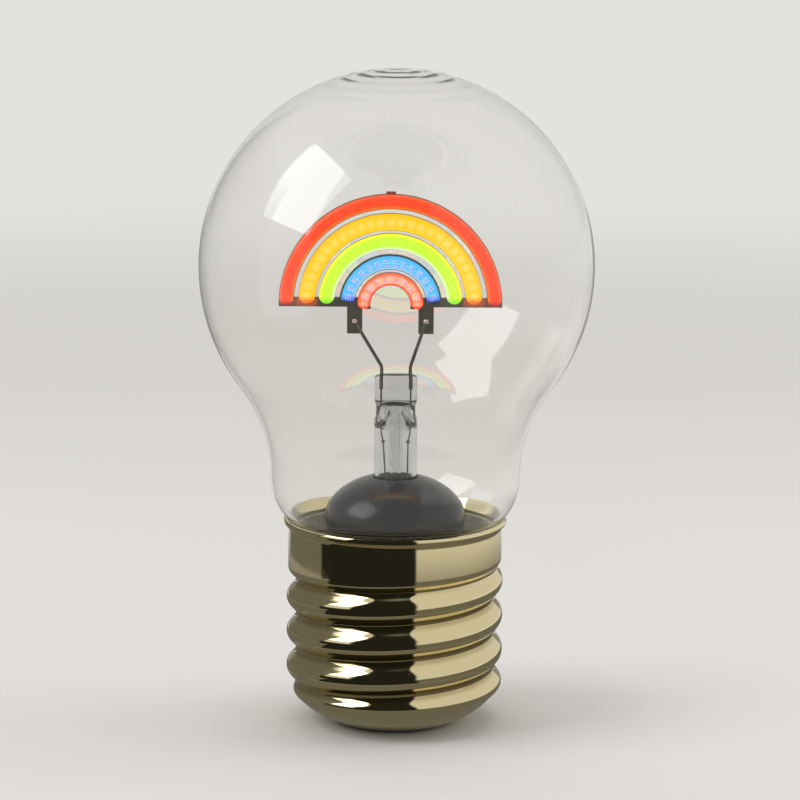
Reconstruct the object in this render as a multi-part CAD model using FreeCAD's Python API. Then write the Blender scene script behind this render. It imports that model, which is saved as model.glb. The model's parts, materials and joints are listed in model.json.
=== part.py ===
import FreeCAD, Part
import math
import os

from FreeCAD import Vector

# Rainbow lamp: a clear glass bulb with a rainbow of light strips on a lamp stem, standing on a
# brass screw base with a rounded bottom. Millimetres, +Z up, the front towards -Y, and the
# origin on the axis where the foot meets the table.

# Bulb glass
BULB_DIAMETER = 85.0
BULB_CENTRE_ABOVE_LIP = 55.0
GLASS_WALL = 1.0
NECK_SWELL = 5.2
NECK_ABOVE_LIP = 9.1
SHOULDER_RADIUS = 13.0
TAIL_FILLET = 4.0
CEMENT_THICKNESS = 0.5

# Brass shell
SHELL_WALL = 0.8
THREAD_CREST_DIAMETER = 47.1
THREAD_DEPTH = 2.05
THREAD_PITCH = 7.74
THREAD_HEIGHT = 25.8
THREAD_CROWN = 0.28
THREAD_RUN_IN = 5.0
THREAD_START = 0.75
BOWL_HEIGHT = 7.6
BOWL_FULLNESS = 1.7
BOWL_MARGIN = 0.15
COLLAR_OVERHANG = 1.7
COLLAR_HEIGHT = 11.1
COLLAR_FLOOR = 1.2
COLLAR_SWELL = 3.4
COLLAR_LEAD = 0.65
COLLAR_SEAM = 0.03
LIP_GAP = 0.15
LIP_EDGE = 0.55
LIP_BEAD = 1.1
LIP_FLARE = 1.2

# Dome cover in the neck
DOME_FLANGE = 1.7
DOME_FLANGE_GAP = 0.2
DOME_WALL = 1.5
DOME_RISE = 10.1
DOME_CENTRE_ABOVE_LIP = -0.3
DOME_TAPER = 0.5
DOME_CLEARANCE = 2.05
SOCKET_DEPTH = 4.2
SOCKET_FLOOR = 1.2
SOCKET_WALL = 1.4
SOCKET_GAP = 0.15
SOCKET_LEDGE = 1.2

# Glass stem and its wires
STEM_DIAMETER = 9.3
STEM_WALL = 0.85
STEM_TUBE_LENGTH = 16.7
STEM_TAPER_LENGTH = 4.3
PINCH_WIDTH = 9.2
PINCH_THICKNESS = 3.3
PINCH_HEIGHT = 5.2
PINCH_ROUND = 0.12
PINCH_SQUARE = 1.6
STEM_WAIST = 0.08
EXHAUST_DIAMETER = 3.2
EXHAUST_BORE = 1.6
EXHAUST_FUSE = 1.4
LEAD_DIAMETER = 0.35
LEAD_KNOT_DIAMETER = 0.85
LEAD_KNOT_ABOVE_SEAT = 12.0
LEAD_LEFT_TURN = 235.0
LEAD_RIGHT_TURN = 335.0
LEAD_EXIT = 1.8
LEAD_BEND = 0.9
SUPPORT_DIAMETER = 0.75
SUPPORT_EDGE = 1.5
SUPPORT_DEPTH = 3.1
SUPPORT_RISE = 1.8
SUPPORT_BEND = 2.0
SOLDER_DIAMETER = 1.3

# Rainbow board, from the inner ring outwards
RAINBOW_ABOVE_PINCH = 15.1
RAINBOW_OFFSET = -1.3
BOARD_THICKNESS = 1.0
BOARD_RIM = 0.12
BLUE_RIM = 0.35
CORAL_INNER_RADIUS = 4.45
CORAL_WIDTH = 2.6
CORAL_GAP = 1.1
BLUE_WIDTH = 2.6
BLUE_GAP = 1.55
LIME_WIDTH = 3.2
LIME_GAP = 0.9
AMBER_WIDTH = 3.45
AMBER_GAP = 1.15
RED_WIDTH = 3.0
BAR_DROP = 0.35
BAR_HEIGHT = 2.0
TAB_SPACING = 15.4
TAB_WIDTH = 3.3
TAB_HEIGHT = 5.85
WELD_ABOVE_TAB_END = 2.76
NUB_WIDTH = 2.1
NUB_HEIGHT = 0.5

# Light strips: how far each ends above the ring centre, and its chips
COAT_HEIGHT = 1.1
CORAL_END = -0.8
BLUE_END = 1.0
LIME_END = 0.3
AMBER_END = 0.3
RED_END = 0.45
CHIP_LENGTH = 1.0
CHIP_WIDTH = 0.7
CHIP_HEIGHT = 0.3
CHIP_GAP = 0.1
CORAL_CHIPS = 8
BLUE_CHIPS = 14
LIME_CHIPS = 20
AMBER_CHIPS = 26
RED_CHIPS = 24

# Push-button, base plate and foot
FOOT_PROUD = 0.6
FOOT_WIDTH = 1.9
FOOT_SUNK = 0.6
FOOT_MARGIN = 0.5
PLATE_FLANGE = 1.4
PLATE_LAP = 0.9
PLATE_GAP = 0.2
BUTTON_DIAMETER = 7.2
BUTTON_GAP = 0.2
BUTTON_FLANGE_LAP = 1.0
BUTTON_FLANGE = 0.7
BUTTON_DISH = 0.35
BUTTON_TRAVEL = 1.2
BUTTON_STOP_GAP = 0.3
SCREW_DIAMETER = 2.0
SCREW_HEAD_DIAMETER = 3.8
SCREW_HEAD = 1.1
SCREW_SUNK = 0.2
SCREW_BITE = 5.6
SCREW_GAP = 0.2
SCREW_SLOT = 0.6
BOSS_DIAMETER = 4.4
BOSS_GAP = 1.2

# Electronics
SWITCH_WIDTH = 6.0
SWITCH_HEIGHT = 3.4
PLUNGER_DIAMETER = 3.4
PLUNGER_GAP = 0.1
PLUNGER_INSIDE = 1.4
USB_WIDTH = 8.94
USB_DEPTH = 3.2
USB_WALL = 0.3
USB_SUNK = 0.3
USB_GAP = 0.15
USB_SPACING = 0.8
TONGUE_WIDTH = 6.7
TONGUE_THICKNESS = 0.7
TONGUE_RECESS = 1.0
PCB_THICKNESS = 1.2
PCB_GAP = 0.3
CHASSIS_GAP = 0.4
CHASSIS_WALL = 1.6
CHASSIS_FLOOR = 1.3
CHASSIS_SKIRT = 2.8
SLEEVE_WALL = 1.2
SLEEVE_DROP = 5.0
CELL_DIAMETER = 16.6
CELL_GAP = 0.3
CELL_CRIMP = 0.4
STRIP_WIDTH = 4.0
STRIP_THICKNESS = 0.2
STRIP_GAP = 0.3
FEED_DIAMETER = 1.1
FEED_GAP = 0.4
FEED_DROP = 1.8
FEED_HEADROOM = 1.35
FEED_BEND = 3.0
CHOKE_SIZE = 5.0
CHOKE_HEIGHT = 2.6
CHIP_PACKAGE = 4.2
CHIP_PACKAGE_HEIGHT = 1.4
CAPACITOR_LENGTH = 2.4
CAPACITOR_WIDTH = 1.4
CAPACITOR_SPACING = 2.6
PCB_MARGIN = 2.2

# Heights, from the table up
Z_SHELL = FOOT_PROUD
Z_PLATE_SEAT = Z_SHELL + SHELL_WALL
Z_PLATE_TOP = Z_PLATE_SEAT + PLATE_FLANGE
Z_BUTTON_TOP = Z_PLATE_TOP + BUTTON_FLANGE
Z_SWITCH = Z_BUTTON_TOP + BUTTON_TRAVEL + BUTTON_STOP_GAP
Z_PCB = Z_SWITCH + SWITCH_HEIGHT
Z_FLOOR = Z_PCB + PCB_THICKNESS
Z_CELL = Z_FLOOR + CHASSIS_FLOOR + STRIP_THICKNESS
Z_BOWL = Z_SHELL + BOWL_HEIGHT
Z_COLLAR = Z_BOWL + THREAD_HEIGHT
Z_COLLAR_FULL = Z_COLLAR + COLLAR_SWELL / 2 + COLLAR_LEAD
Z_LIP = Z_COLLAR + COLLAR_HEIGHT
Z_FLANGE = Z_COLLAR + COLLAR_FLOOR
Z_TAIL = Z_FLANGE + DOME_FLANGE
Z_NECK = Z_LIP + NECK_ABOVE_LIP
Z_BULB = Z_LIP + BULB_CENTRE_ABOVE_LIP
Z_DOME = Z_LIP + DOME_CENTRE_ABOVE_LIP

# Radii of the base, from the button outwards
BUTTON_RADIUS = BUTTON_DIAMETER / 2
BUTTON_FLANGE_RADIUS = BUTTON_RADIUS + BUTTON_FLANGE_LAP
SCREW_X = BUTTON_FLANGE_RADIUS + BOSS_GAP + BOSS_DIAMETER / 2
FOOT_INNER = SCREW_X + SCREW_HEAD_DIAMETER / 2 + FOOT_MARGIN
FOOT_OUTER = FOOT_INNER + FOOT_WIDTH
PLATE_RADIUS = FOOT_OUTER + FOOT_MARGIN
PLATE_FLANGE_RADIUS = PLATE_RADIUS + PLATE_LAP
BOWL_FOOT_RADIUS = PLATE_FLANGE_RADIUS + BOWL_MARGIN
USB_Y = BUTTON_FLANGE_RADIUS + USB_SPACING + USB_DEPTH / 2

# Radii of the shell and the glass
THREAD_ROOT = THREAD_CREST_DIAMETER / 2 - THREAD_DEPTH
THREAD_MEAN = THREAD_CREST_DIAMETER / 2 - THREAD_DEPTH / 2
BOWL_FOOT_SHARE = 1 - (BOWL_FOOT_RADIUS / THREAD_MEAN) ** BOWL_FULLNESS
BOWL_DEPTH = BOWL_HEIGHT / BOWL_FOOT_SHARE ** (1 / BOWL_FULLNESS)
COLLAR_RADIUS = THREAD_ROOT + COLLAR_OVERHANG
COLLAR_BORE = COLLAR_RADIUS - SHELL_WALL
SHELL_BORE = THREAD_ROOT - SHELL_WALL
TAIL_RADIUS = COLLAR_BORE - CEMENT_THICKNESS
NECK_RADIUS = TAIL_RADIUS + NECK_SWELL
BULB_RADIUS = BULB_DIAMETER / 2

# Radii of the inside of the base
CHASSIS_RADIUS = SHELL_BORE - CHASSIS_GAP
CHASSIS_BORE = CHASSIS_RADIUS - CHASSIS_WALL
PCB_RADIUS = CHASSIS_BORE - PCB_GAP
CELL_RADIUS = CELL_DIAMETER / 2
SLEEVE_BORE = CELL_RADIUS + CELL_GAP
SLEEVE_RADIUS = SLEEVE_BORE + SLEEVE_WALL
FEED_RADIUS = FEED_DIAMETER / 2
FEED_X = SLEEVE_RADIUS + FEED_GAP + FEED_RADIUS
SKIRT_BORE = FEED_X + FEED_RADIUS + DOME_CLEARANCE
DOME_RADIUS = SKIRT_BORE + DOME_WALL + DOME_TAPER

# Stem
STEM_RADIUS = STEM_DIAMETER / 2
STEM_BORE = STEM_RADIUS - STEM_WALL
SOCKET_RADIUS = STEM_RADIUS + SOCKET_GAP
SOCKET_BORE = SOCKET_RADIUS - SOCKET_LEDGE
EXHAUST_RADIUS = EXHAUST_DIAMETER / 2
Z_DOME_TOP = Z_DOME + DOME_RISE * math.sqrt(1 - (SOCKET_RADIUS / DOME_RADIUS) ** 2)
Z_STEM = Z_DOME_TOP - SOCKET_DEPTH
Z_SOCKET = Z_STEM - SOCKET_FLOOR
Z_TAPER = Z_STEM + STEM_TUBE_LENGTH
Z_PINCH = Z_TAPER + STEM_TAPER_LENGTH
Z_PINCH_TOP = Z_PINCH + PINCH_HEIGHT
Z_WIRE_JOIN = Z_PINCH_TOP - SUPPORT_DEPTH
Z_KNOT = Z_STEM + LEAD_KNOT_ABOVE_SEAT
SUPPORT_X = PINCH_WIDTH / 2 - SUPPORT_EDGE
LEAD_CIRCLE = (EXHAUST_RADIUS + STEM_BORE) / 2
Z_FEED = Z_SOCKET - FEED_DROP
Z_CELL_TOP = Z_FEED - FEED_RADIUS - FEED_HEADROOM - STRIP_THICKNESS

# Rainbow
Z_RING = Z_PINCH_TOP + RAINBOW_ABOVE_PINCH
Z_BAR = Z_RING - BAR_DROP
Z_TAB = Z_BAR - TAB_HEIGHT
Z_WELD = Z_TAB + WELD_ABOVE_TAB_END
BOARD_FRONT = SUPPORT_DIAMETER / 2
BOARD_BACK = BOARD_FRONT + BOARD_THICKNESS
CORAL_MIDDLE = CORAL_INNER_RADIUS + CORAL_WIDTH / 2
BLUE_MIDDLE = CORAL_MIDDLE + CORAL_WIDTH / 2 + CORAL_GAP + BLUE_WIDTH / 2
LIME_MIDDLE = BLUE_MIDDLE + BLUE_WIDTH / 2 + BLUE_GAP + LIME_WIDTH / 2
AMBER_MIDDLE = LIME_MIDDLE + LIME_WIDTH / 2 + LIME_GAP + AMBER_WIDTH / 2
RED_MIDDLE = AMBER_MIDDLE + AMBER_WIDTH / 2 + AMBER_GAP + RED_WIDTH / 2
RAINBOW_RADIUS = RED_MIDDLE + RED_WIDTH / 2 + BOARD_RIM

X_AXIS = Vector(1, 0, 0)
Y_AXIS = Vector(0, 1, 0)
Z_AXIS = Vector(0, 0, 1)
ORIGIN = Vector(0, 0, 0)


def on_axis_plane(radius, height):
    """A point of a turned profile: radius along X, height along Z."""
    return Vector(radius, 0, height)


def line(start, end):
    """A straight edge."""
    return Part.LineSegment(start, end).toShape()


def arc_through(start, middle, end):
    """A circular edge through three points."""
    return Part.Arc(start, middle, end).toShape()


def arc_about(centre, start, end):
    """The shorter circular edge about a centre, from start to end."""
    towards = (start - centre).normalize() + (end - centre).normalize()
    middle = centre + towards.normalize() * (start - centre).Length
    return arc_through(start, middle, end)


def turned(edges):
    """A solid of revolution about Z of a closed profile."""
    face = Part.Face(Part.Wire(edges))
    return face.revolve(ORIGIN, Z_AXIS, 360)


def turned_polygon(points):
    """A solid of revolution about Z of a polygon of (radius, height) points."""
    corners = [on_axis_plane(radius, height) for radius, height in points]
    corners.append(corners[0])
    face = Part.Face(Part.makePolygon(corners))
    return face.revolve(ORIGIN, Z_AXIS, 360)


def cylinder(radius, low, high, x=0.0, y=0.0):
    """An upright cylinder between two heights."""
    return Part.makeCylinder(radius, high - low, Vector(x, y, low))


def block(x0, x1, y0, y1, z0, z1):
    """A box between two corners."""
    return Part.makeBox(x1 - x0, y1 - y0, z1 - z0, Vector(x0, y0, z0))


def stadium(width, depth, low, high, y):
    """An upright prism with a round-ended outline, long along X."""
    half = (width - depth) / 2
    radius = depth / 2
    a = Vector(-half, y - radius, low)
    b = Vector(half, y - radius, low)
    c = Vector(half, y + radius, low)
    d = Vector(-half, y + radius, low)
    right = Vector(half + radius, y, low)
    left = Vector(-half - radius, y, low)
    outline = Part.Wire([line(a, b), arc_through(b, right, c), line(c, d), arc_through(d, left, a)])
    return Part.Face(outline).extrude(Vector(0, 0, high - low))


def bent_wire(points, radius, bend):
    """A round wire along straight runs joined by tangent arcs of the bend radius at most."""
    edges = []
    here = points[0]
    for i in range(1, len(points) - 1):
        corner = points[i]
        back = (points[i - 1] - corner).normalize()
        ahead = (points[i + 1] - corner).normalize()
        half_turn = (math.pi - back.getAngle(ahead)) / 2
        shorter = min((points[i - 1] - corner).Length, (points[i + 1] - corner).Length)
        setback = min(bend * math.tan(half_turn), 0.45 * shorter)
        turn_radius = setback / math.tan(half_turn)
        start = corner + back * setback
        end = corner + ahead * setback
        to_centre = (back + ahead).normalize()
        inside = turn_radius / math.cos(half_turn) - turn_radius
        edges.append(line(here, start))
        edges.append(arc_through(start, corner + to_centre * inside, end))
        here = end
    edges.append(line(here, points[-1]))
    first = (points[1] - points[0]).normalize()
    section = Part.Wire([Part.makeCircle(radius, points[0], first)])
    return Part.Wire(edges).makePipeShell([section], True, True)


def mirrored(shape):
    """The same shape on the other side of the YZ plane."""
    return shape.mirror(ORIGIN, X_AXIS)


def ramp(share):
    """A smooth step from 0 to 1."""
    share = max(0.0, min(1.0, share))
    return share * share * (3 - 2 * share)


def glass_centres():
    """Centres of the four tangent arcs of the bulb's outline, and the waist arc's radius."""
    rise = Z_BULB - Z_NECK
    waist = (rise ** 2 - BULB_RADIUS ** 2 + NECK_RADIUS ** 2) / (2 * (BULB_RADIUS - NECK_RADIUS))
    reach = SHOULDER_RADIUS + TAIL_FILLET
    drop = math.sqrt(reach ** 2 - (reach - NECK_SWELL) ** 2)
    sphere = on_axis_plane(0, Z_BULB)
    hollow = on_axis_plane(NECK_RADIUS + waist, Z_NECK)
    shoulder = on_axis_plane(NECK_RADIUS - SHOULDER_RADIUS, Z_NECK)
    fillet = on_axis_plane(TAIL_RADIUS + TAIL_FILLET, Z_NECK - drop)
    return sphere, hollow, shoulder, fillet


def glass_outline(inset):
    """Edges of the bulb's outline from the top to the end of the tail, set in by inset."""
    sphere, hollow, shoulder, fillet = glass_centres()
    top = on_axis_plane(0, Z_BULB + BULB_RADIUS - inset)
    cheek = sphere + (hollow - sphere).normalize() * (BULB_RADIUS - inset)
    neck = on_axis_plane(NECK_RADIUS - inset, Z_NECK)
    bend = shoulder + (fillet - shoulder).normalize() * (SHOULDER_RADIUS - inset)
    tail_top = on_axis_plane(TAIL_RADIUS - inset, fillet.z)
    tail_end = on_axis_plane(TAIL_RADIUS - inset, Z_TAIL)
    return [
        arc_about(sphere, top, cheek),
        arc_about(hollow, cheek, neck),
        arc_about(shoulder, neck, bend),
        arc_about(fillet, bend, tail_top),
        line(tail_top, tail_end),
    ], top, tail_end


def glass_radius(height):
    """Outer radius of the glass where it curves in above the collar."""
    sphere, hollow, shoulder, fillet = glass_centres()
    bend = shoulder + (fillet - shoulder).normalize() * SHOULDER_RADIUS
    if height > bend.z:
        return shoulder.x + math.sqrt(SHOULDER_RADIUS ** 2 - (height - shoulder.z) ** 2)
    return fillet.x - math.sqrt(TAIL_FILLET ** 2 - (height - fillet.z) ** 2)


def make_glass_envelope():
    """Blown bulb: a sphere, a hollow neck, a shoulder and a straight tail of even wall."""
    outer, outer_top, outer_end = glass_outline(0.0)
    inner, inner_top, inner_end = glass_outline(GLASS_WALL)
    inner.reverse()
    return turned(outer + [line(outer_end, inner_end)] + inner + [line(inner_top, outer_top)])


def make_bedding_cement():
    """Ring of cement that fills the space between the glass tail and the collar."""
    tail_top = glass_centres()[3].z
    return cylinder(COLLAR_BORE, Z_TAIL, tail_top).cut(cylinder(TAIL_RADIUS, Z_TAIL, tail_top))


def thread_radius(angle, height, inset):
    """Radius of the bowl, the rolled thread and the collar it swells into, at one angle and height."""
    phase = 2 * math.pi * (height - Z_BOWL) / THREAD_PITCH - angle
    wave = math.cos(phase) + THREAD_CROWN * (1 - math.cos(2 * phase)) / 2
    run_in = ramp((height - Z_BOWL) / THREAD_RUN_IN + THREAD_START)
    mean = THREAD_MEAN
    if height < Z_BOWL:
        below = ((Z_BOWL - height) / BOWL_DEPTH) ** BOWL_FULLNESS
        mean = THREAD_MEAN * (1 - below) ** (1 / BOWL_FULLNESS)
    thread = mean + THREAD_DEPTH / 2 * run_in * wave
    middle = Z_COLLAR + COLLAR_LEAD * math.cos(angle)
    swell = ramp((height - middle) / COLLAR_SWELL + 0.5)
    return thread + (COLLAR_RADIUS - COLLAR_SEAM - thread) * swell - inset


def thread_section(height, inset):
    """One level closed curve of the thread."""
    points = []
    count = 24
    for i in range(count):
        angle = 2 * math.pi * i / count
        radius = thread_radius(angle, height, inset)
        points.append(Vector(radius * math.cos(angle), radius * math.sin(angle), height))
    curve = Part.BSplineCurve()
    curve.interpolate(points, PeriodicFlag=True)
    return Part.Wire([curve.toShape()])


def thread_body(low, high, inset):
    """Solid of the bowl and the thread, run on into the collar, set in by inset."""
    bowl_steps = 7
    turn_steps = 10
    start = math.asin((Z_BOWL - low) / BOWL_DEPTH)
    heights = [Z_BOWL - BOWL_DEPTH * math.sin(start * (1 - i / bowl_steps)) for i in range(bowl_steps)]
    steps = math.ceil((high - Z_BOWL) / THREAD_PITCH * turn_steps)
    heights += [Z_BOWL + (high - Z_BOWL) * i / steps for i in range(steps + 1)]
    return Part.makeLoft([thread_section(height, inset) for height in heights], True, False)


def lip_bore():
    """Inner radius of the lip's edge, clear of the glass."""
    return glass_radius(Z_LIP) + LIP_GAP


def make_collar():
    """Full body of the plain collar with a flared lip and its bead."""
    lip_radius = lip_bore() + LIP_EDGE
    flare = Z_LIP - LIP_BEAD - LIP_FLARE
    low_middle = on_axis_plane(0, Z_COLLAR_FULL)
    low_outside = on_axis_plane(COLLAR_RADIUS, Z_COLLAR_FULL)
    flare_low = on_axis_plane(COLLAR_RADIUS, flare)
    flare_top = on_axis_plane(lip_radius, Z_LIP - LIP_BEAD)
    flare_middle = on_axis_plane(
        COLLAR_RADIUS + 0.28 * (lip_radius - COLLAR_RADIUS), flare + 0.62 * LIP_FLARE)
    bead_middle = on_axis_plane(lip_radius + 0.15 * LIP_BEAD, Z_LIP - LIP_BEAD / 2)
    lip_top = on_axis_plane(lip_radius, Z_LIP)
    lip_middle = on_axis_plane(0, Z_LIP)
    return turned([
        line(low_middle, low_outside),
        line(low_outside, flare_low),
        arc_through(flare_low, flare_middle, flare_top),
        arc_through(flare_top, bead_middle, lip_top),
        line(lip_top, lip_middle),
        line(lip_middle, low_middle),
    ])


def make_collar_hollow():
    """Room in the collar for the dome's flange and the glass tail, opening out at the lip."""
    tail_top = glass_centres()[3].z
    return turned_polygon([
        (0, Z_FLANGE), (COLLAR_BORE, Z_FLANGE), (COLLAR_BORE, tail_top + TAIL_FILLET / 4),
        (lip_bore(), Z_LIP), (lip_bore(), Z_LIP + SHELL_WALL), (0, Z_LIP + SHELL_WALL),
    ])


def make_screw_shell():
    """Spun brass shell of one sheet: bowl and rolled thread, collar and lip, open underneath."""
    outside = thread_body(Z_SHELL, Z_COLLAR_FULL + SHELL_WALL, 0.0).fuse(make_collar())
    inside = thread_body(Z_PLATE_SEAT, Z_FLANGE + SHELL_WALL, SHELL_WALL)
    opening = cylinder(PLATE_RADIUS + PLATE_GAP, 0.0, Z_PLATE_SEAT + SHELL_WALL)
    return outside.cut(make_collar_hollow()).cut(inside).cut(opening)


def ellipse_arc(radius, rise, centre_height, start_radius, end_radius):
    """Elliptical edge of the dome between two radii, about a centre on the axis."""
    centre = on_axis_plane(0, centre_height)
    side = on_axis_plane(radius, centre_height)
    top = on_axis_plane(0, centre_height + rise)
    curve = Part.Ellipse(side, top, centre)
    low = math.acos(min(1.0, start_radius / radius))
    high = math.acos(end_radius / radius)
    return Part.ArcOfEllipse(curve, low, high).toShape()


def make_dome_cover():
    """Black cover: a flange in the collar, a dome in the neck and a socket for the stem."""
    flange_radius = COLLAR_BORE - DOME_FLANGE_GAP
    inner_radius = DOME_RADIUS - DOME_WALL
    inner_rise = DOME_RISE - DOME_WALL
    boss_radius = SOCKET_RADIUS + SOCKET_WALL
    boss_top = Z_DOME + inner_rise * math.sqrt(1 - (boss_radius / inner_radius) ** 2)
    points = [
        on_axis_plane(SKIRT_BORE, Z_FLANGE),
        on_axis_plane(flange_radius, Z_FLANGE),
        on_axis_plane(flange_radius, Z_TAIL),
        on_axis_plane(SKIRT_BORE + DOME_WALL, Z_TAIL),
        on_axis_plane(DOME_RADIUS, Z_DOME),
    ]
    edges = [line(a, b) for a, b in zip(points, points[1:])]
    edges.append(ellipse_arc(DOME_RADIUS, DOME_RISE, Z_DOME, DOME_RADIUS, SOCKET_RADIUS))
    socket = [
        on_axis_plane(SOCKET_RADIUS, Z_DOME_TOP),
        on_axis_plane(SOCKET_RADIUS, Z_STEM),
        on_axis_plane(SOCKET_BORE, Z_STEM),
        on_axis_plane(SOCKET_BORE, Z_SOCKET),
        on_axis_plane(boss_radius, Z_SOCKET),
        on_axis_plane(boss_radius, boss_top),
    ]
    edges += [line(a, b) for a, b in zip(socket, socket[1:])]
    edges.append(ellipse_arc(inner_radius, inner_rise, Z_DOME, inner_radius, boss_radius))
    edges.append(line(on_axis_plane(inner_radius, Z_DOME), points[0]))
    return turned(edges)


def stem_section(height):
    """One level curve of the stem: a circle in the tube, a rounded slab in the pinch."""
    share = ramp((height - Z_TAPER) / STEM_TAPER_LENGTH)
    crown = 1 - PINCH_ROUND * ramp((height - Z_PINCH_TOP) / PINCH_THICKNESS + 1) ** 4
    waist = STEM_WAIST * STEM_RADIUS * math.sin(math.pi * share)
    half_width = crown * (STEM_RADIUS + (PINCH_WIDTH / 2 - STEM_RADIUS) * share - waist)
    half_thickness = crown * (STEM_RADIUS + (PINCH_THICKNESS / 2 - STEM_RADIUS) * share)
    power = 2 + PINCH_SQUARE * share
    points = []
    count = 32
    for i in range(count):
        angle = 2 * math.pi * i / count
        x = math.copysign(abs(math.cos(angle)) ** (2 / power), math.cos(angle))
        y = math.copysign(abs(math.sin(angle)) ** (2 / power), math.sin(angle))
        points.append(Vector(half_width * x, half_thickness * y, height))
    curve = Part.BSplineCurve()
    curve.interpolate(points, PeriodicFlag=True)
    return Part.Wire([curve.toShape()])


def make_stem_tube(wires):
    """Glass stem: a tube drawn in and pressed flat on the wires, which are sealed in it."""
    steps = 30
    rise = Z_PINCH_TOP - Z_STEM
    sections = [stem_section(Z_STEM + rise * i / steps) for i in range(steps + 1)]
    glass = Part.makeLoft(sections, True, False)
    hollow = turned_polygon([
        (0, Z_SOCKET), (STEM_BORE, Z_SOCKET), (STEM_BORE, Z_TAPER - EXHAUST_FUSE),
        (EXHAUST_RADIUS, Z_TAPER + EXHAUST_FUSE), (0, Z_TAPER + EXHAUST_FUSE),
    ])
    return glass.cut(hollow).cut(wires)


def make_exhaust_tube():
    """Thin tube inside the stem, melted into the top of the hollow."""
    low = Z_SOCKET + SOCKET_FLOOR / 2
    high = Z_TAPER + EXHAUST_FUSE
    return cylinder(EXHAUST_RADIUS, low, high).cut(cylinder(EXHAUST_BORE / 2, low, high))


def lead_end(turn):
    """Where a lead leaves the stem downwards, at an angle round the exhaust tube."""
    angle = math.radians(turn)
    return Vector(LEAD_CIRCLE * math.cos(angle), LEAD_CIRCLE * math.sin(angle), Z_FEED)


def feed_corner(side):
    """Where a feed wire turns in from the side of the cell towards the stem."""
    return Vector(side * FEED_X, 0, Z_FEED)


def wire_join(side, turn):
    """The point where a lead meets its feed wire end to end."""
    start = lead_end(turn)
    return start + (feed_corner(side) - start).normalize() * LEAD_EXIT


def make_lead_wire(side, turn):
    """Thin lead from the pinch, with a weld knot, out of the stem to the feed wire."""
    top = Vector(side * SUPPORT_X, 0, Z_WIRE_JOIN)
    seal = Vector(side * SUPPORT_X, 0, Z_TAPER - 2 * EXHAUST_FUSE)
    knot = Vector(side * LEAD_CIRCLE, 0, Z_KNOT)
    route = [top, seal, knot, lead_end(turn), wire_join(side, turn)]
    wire = bent_wire(route, LEAD_DIAMETER / 2, LEAD_BEND)
    return wire.fuse(Part.makeSphere(LEAD_KNOT_DIAMETER / 2, knot))


def make_feed_wire(side, turn):
    """Insulated wire from the control board up past the cell to the stem lead."""
    start = Vector(side * FEED_X, 0, Z_FLOOR)
    route = [start, feed_corner(side), wire_join(side, turn)]
    return bent_wire(route, FEED_RADIUS, FEED_BEND)


def weld_point(side):
    """Where a support wire ends on its tab."""
    return Vector(RAINBOW_OFFSET + side * TAB_SPACING / 2, 0, Z_WELD)


def make_support_wire(side):
    """Stiff wire sealed in the pinch, bent outwards to its tab."""
    route = [
        Vector(side * SUPPORT_X, 0, Z_WIRE_JOIN),
        Vector(side * SUPPORT_X, 0, Z_PINCH_TOP + SUPPORT_RISE),
        weld_point(side),
    ]
    return bent_wire(route, SUPPORT_DIAMETER / 2, SUPPORT_BEND)


def make_tab_solder(board, wires):
    """Solder blobs that hold the wire ends on the front of the tabs."""
    blobs = []
    for side in (-1, 1):
        blobs.append(Part.makeSphere(SOLDER_DIAMETER / 2, weld_point(side)).cut([board] + wires))
    return Part.makeCompound(blobs)


def in_place(shape):
    """A rainbow piece moved from the axis to where its wires hold it."""
    return shape.translated(Vector(RAINBOW_OFFSET, 0, 0))


def half_ring(middle, width, end):
    """Half ring of the board, upright, with its legs reaching down to a height."""
    low = Vector(0, BOARD_FRONT, Z_RING)
    outer = Part.makeCylinder(middle + width / 2, BOARD_THICKNESS, low, Y_AXIS)
    inner = Part.makeCylinder(middle - width / 2, BOARD_THICKNESS, low, Y_AXIS)
    reach = middle + width
    keep = block(-reach, reach, BOARD_FRONT, BOARD_BACK, end, Z_RING + reach)
    return outer.cut(inner).common(keep)


def make_led_board():
    """Cut plate that carries the strips: five half rings, a bar, two tabs and a nub on top."""
    rim = 2 * BOARD_RIM
    pieces = [
        half_ring(CORAL_MIDDLE, CORAL_WIDTH + rim, Z_RING + CORAL_END),
        half_ring(BLUE_MIDDLE, BLUE_WIDTH + 2 * BLUE_RIM, Z_BAR),
        half_ring(LIME_MIDDLE, LIME_WIDTH + rim, Z_BAR),
        half_ring(AMBER_MIDDLE, AMBER_WIDTH + rim, Z_BAR),
        half_ring(RED_MIDDLE, RED_WIDTH + rim, Z_BAR),
    ]
    bar_top = Z_BAR + BAR_HEIGHT
    bar_end = math.sqrt(RAINBOW_RADIUS ** 2 - (BAR_HEIGHT - BAR_DROP) ** 2)
    bar = block(CORAL_MIDDLE, bar_end, BOARD_FRONT, BOARD_BACK, Z_BAR, bar_top)
    tab_inside = TAB_SPACING / 2 - TAB_WIDTH / 2
    tab = block(tab_inside, tab_inside + TAB_WIDTH, BOARD_FRONT, BOARD_BACK, Z_TAB, bar_top)
    top = Z_RING + RAINBOW_RADIUS
    nub = block(-NUB_WIDTH / 2, NUB_WIDTH / 2, BOARD_FRONT, BOARD_BACK, top - RED_WIDTH / 2, top + NUB_HEIGHT)
    pieces += [bar, mirrored(bar), tab, mirrored(tab), nub]
    return in_place(pieces[0].fuse(pieces[1:]).removeSplitter())


def end_angle(middle, height):
    """Angle above level at which a ring of this radius is at a height over its centre."""
    return math.degrees(math.asin(height / middle))


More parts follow.
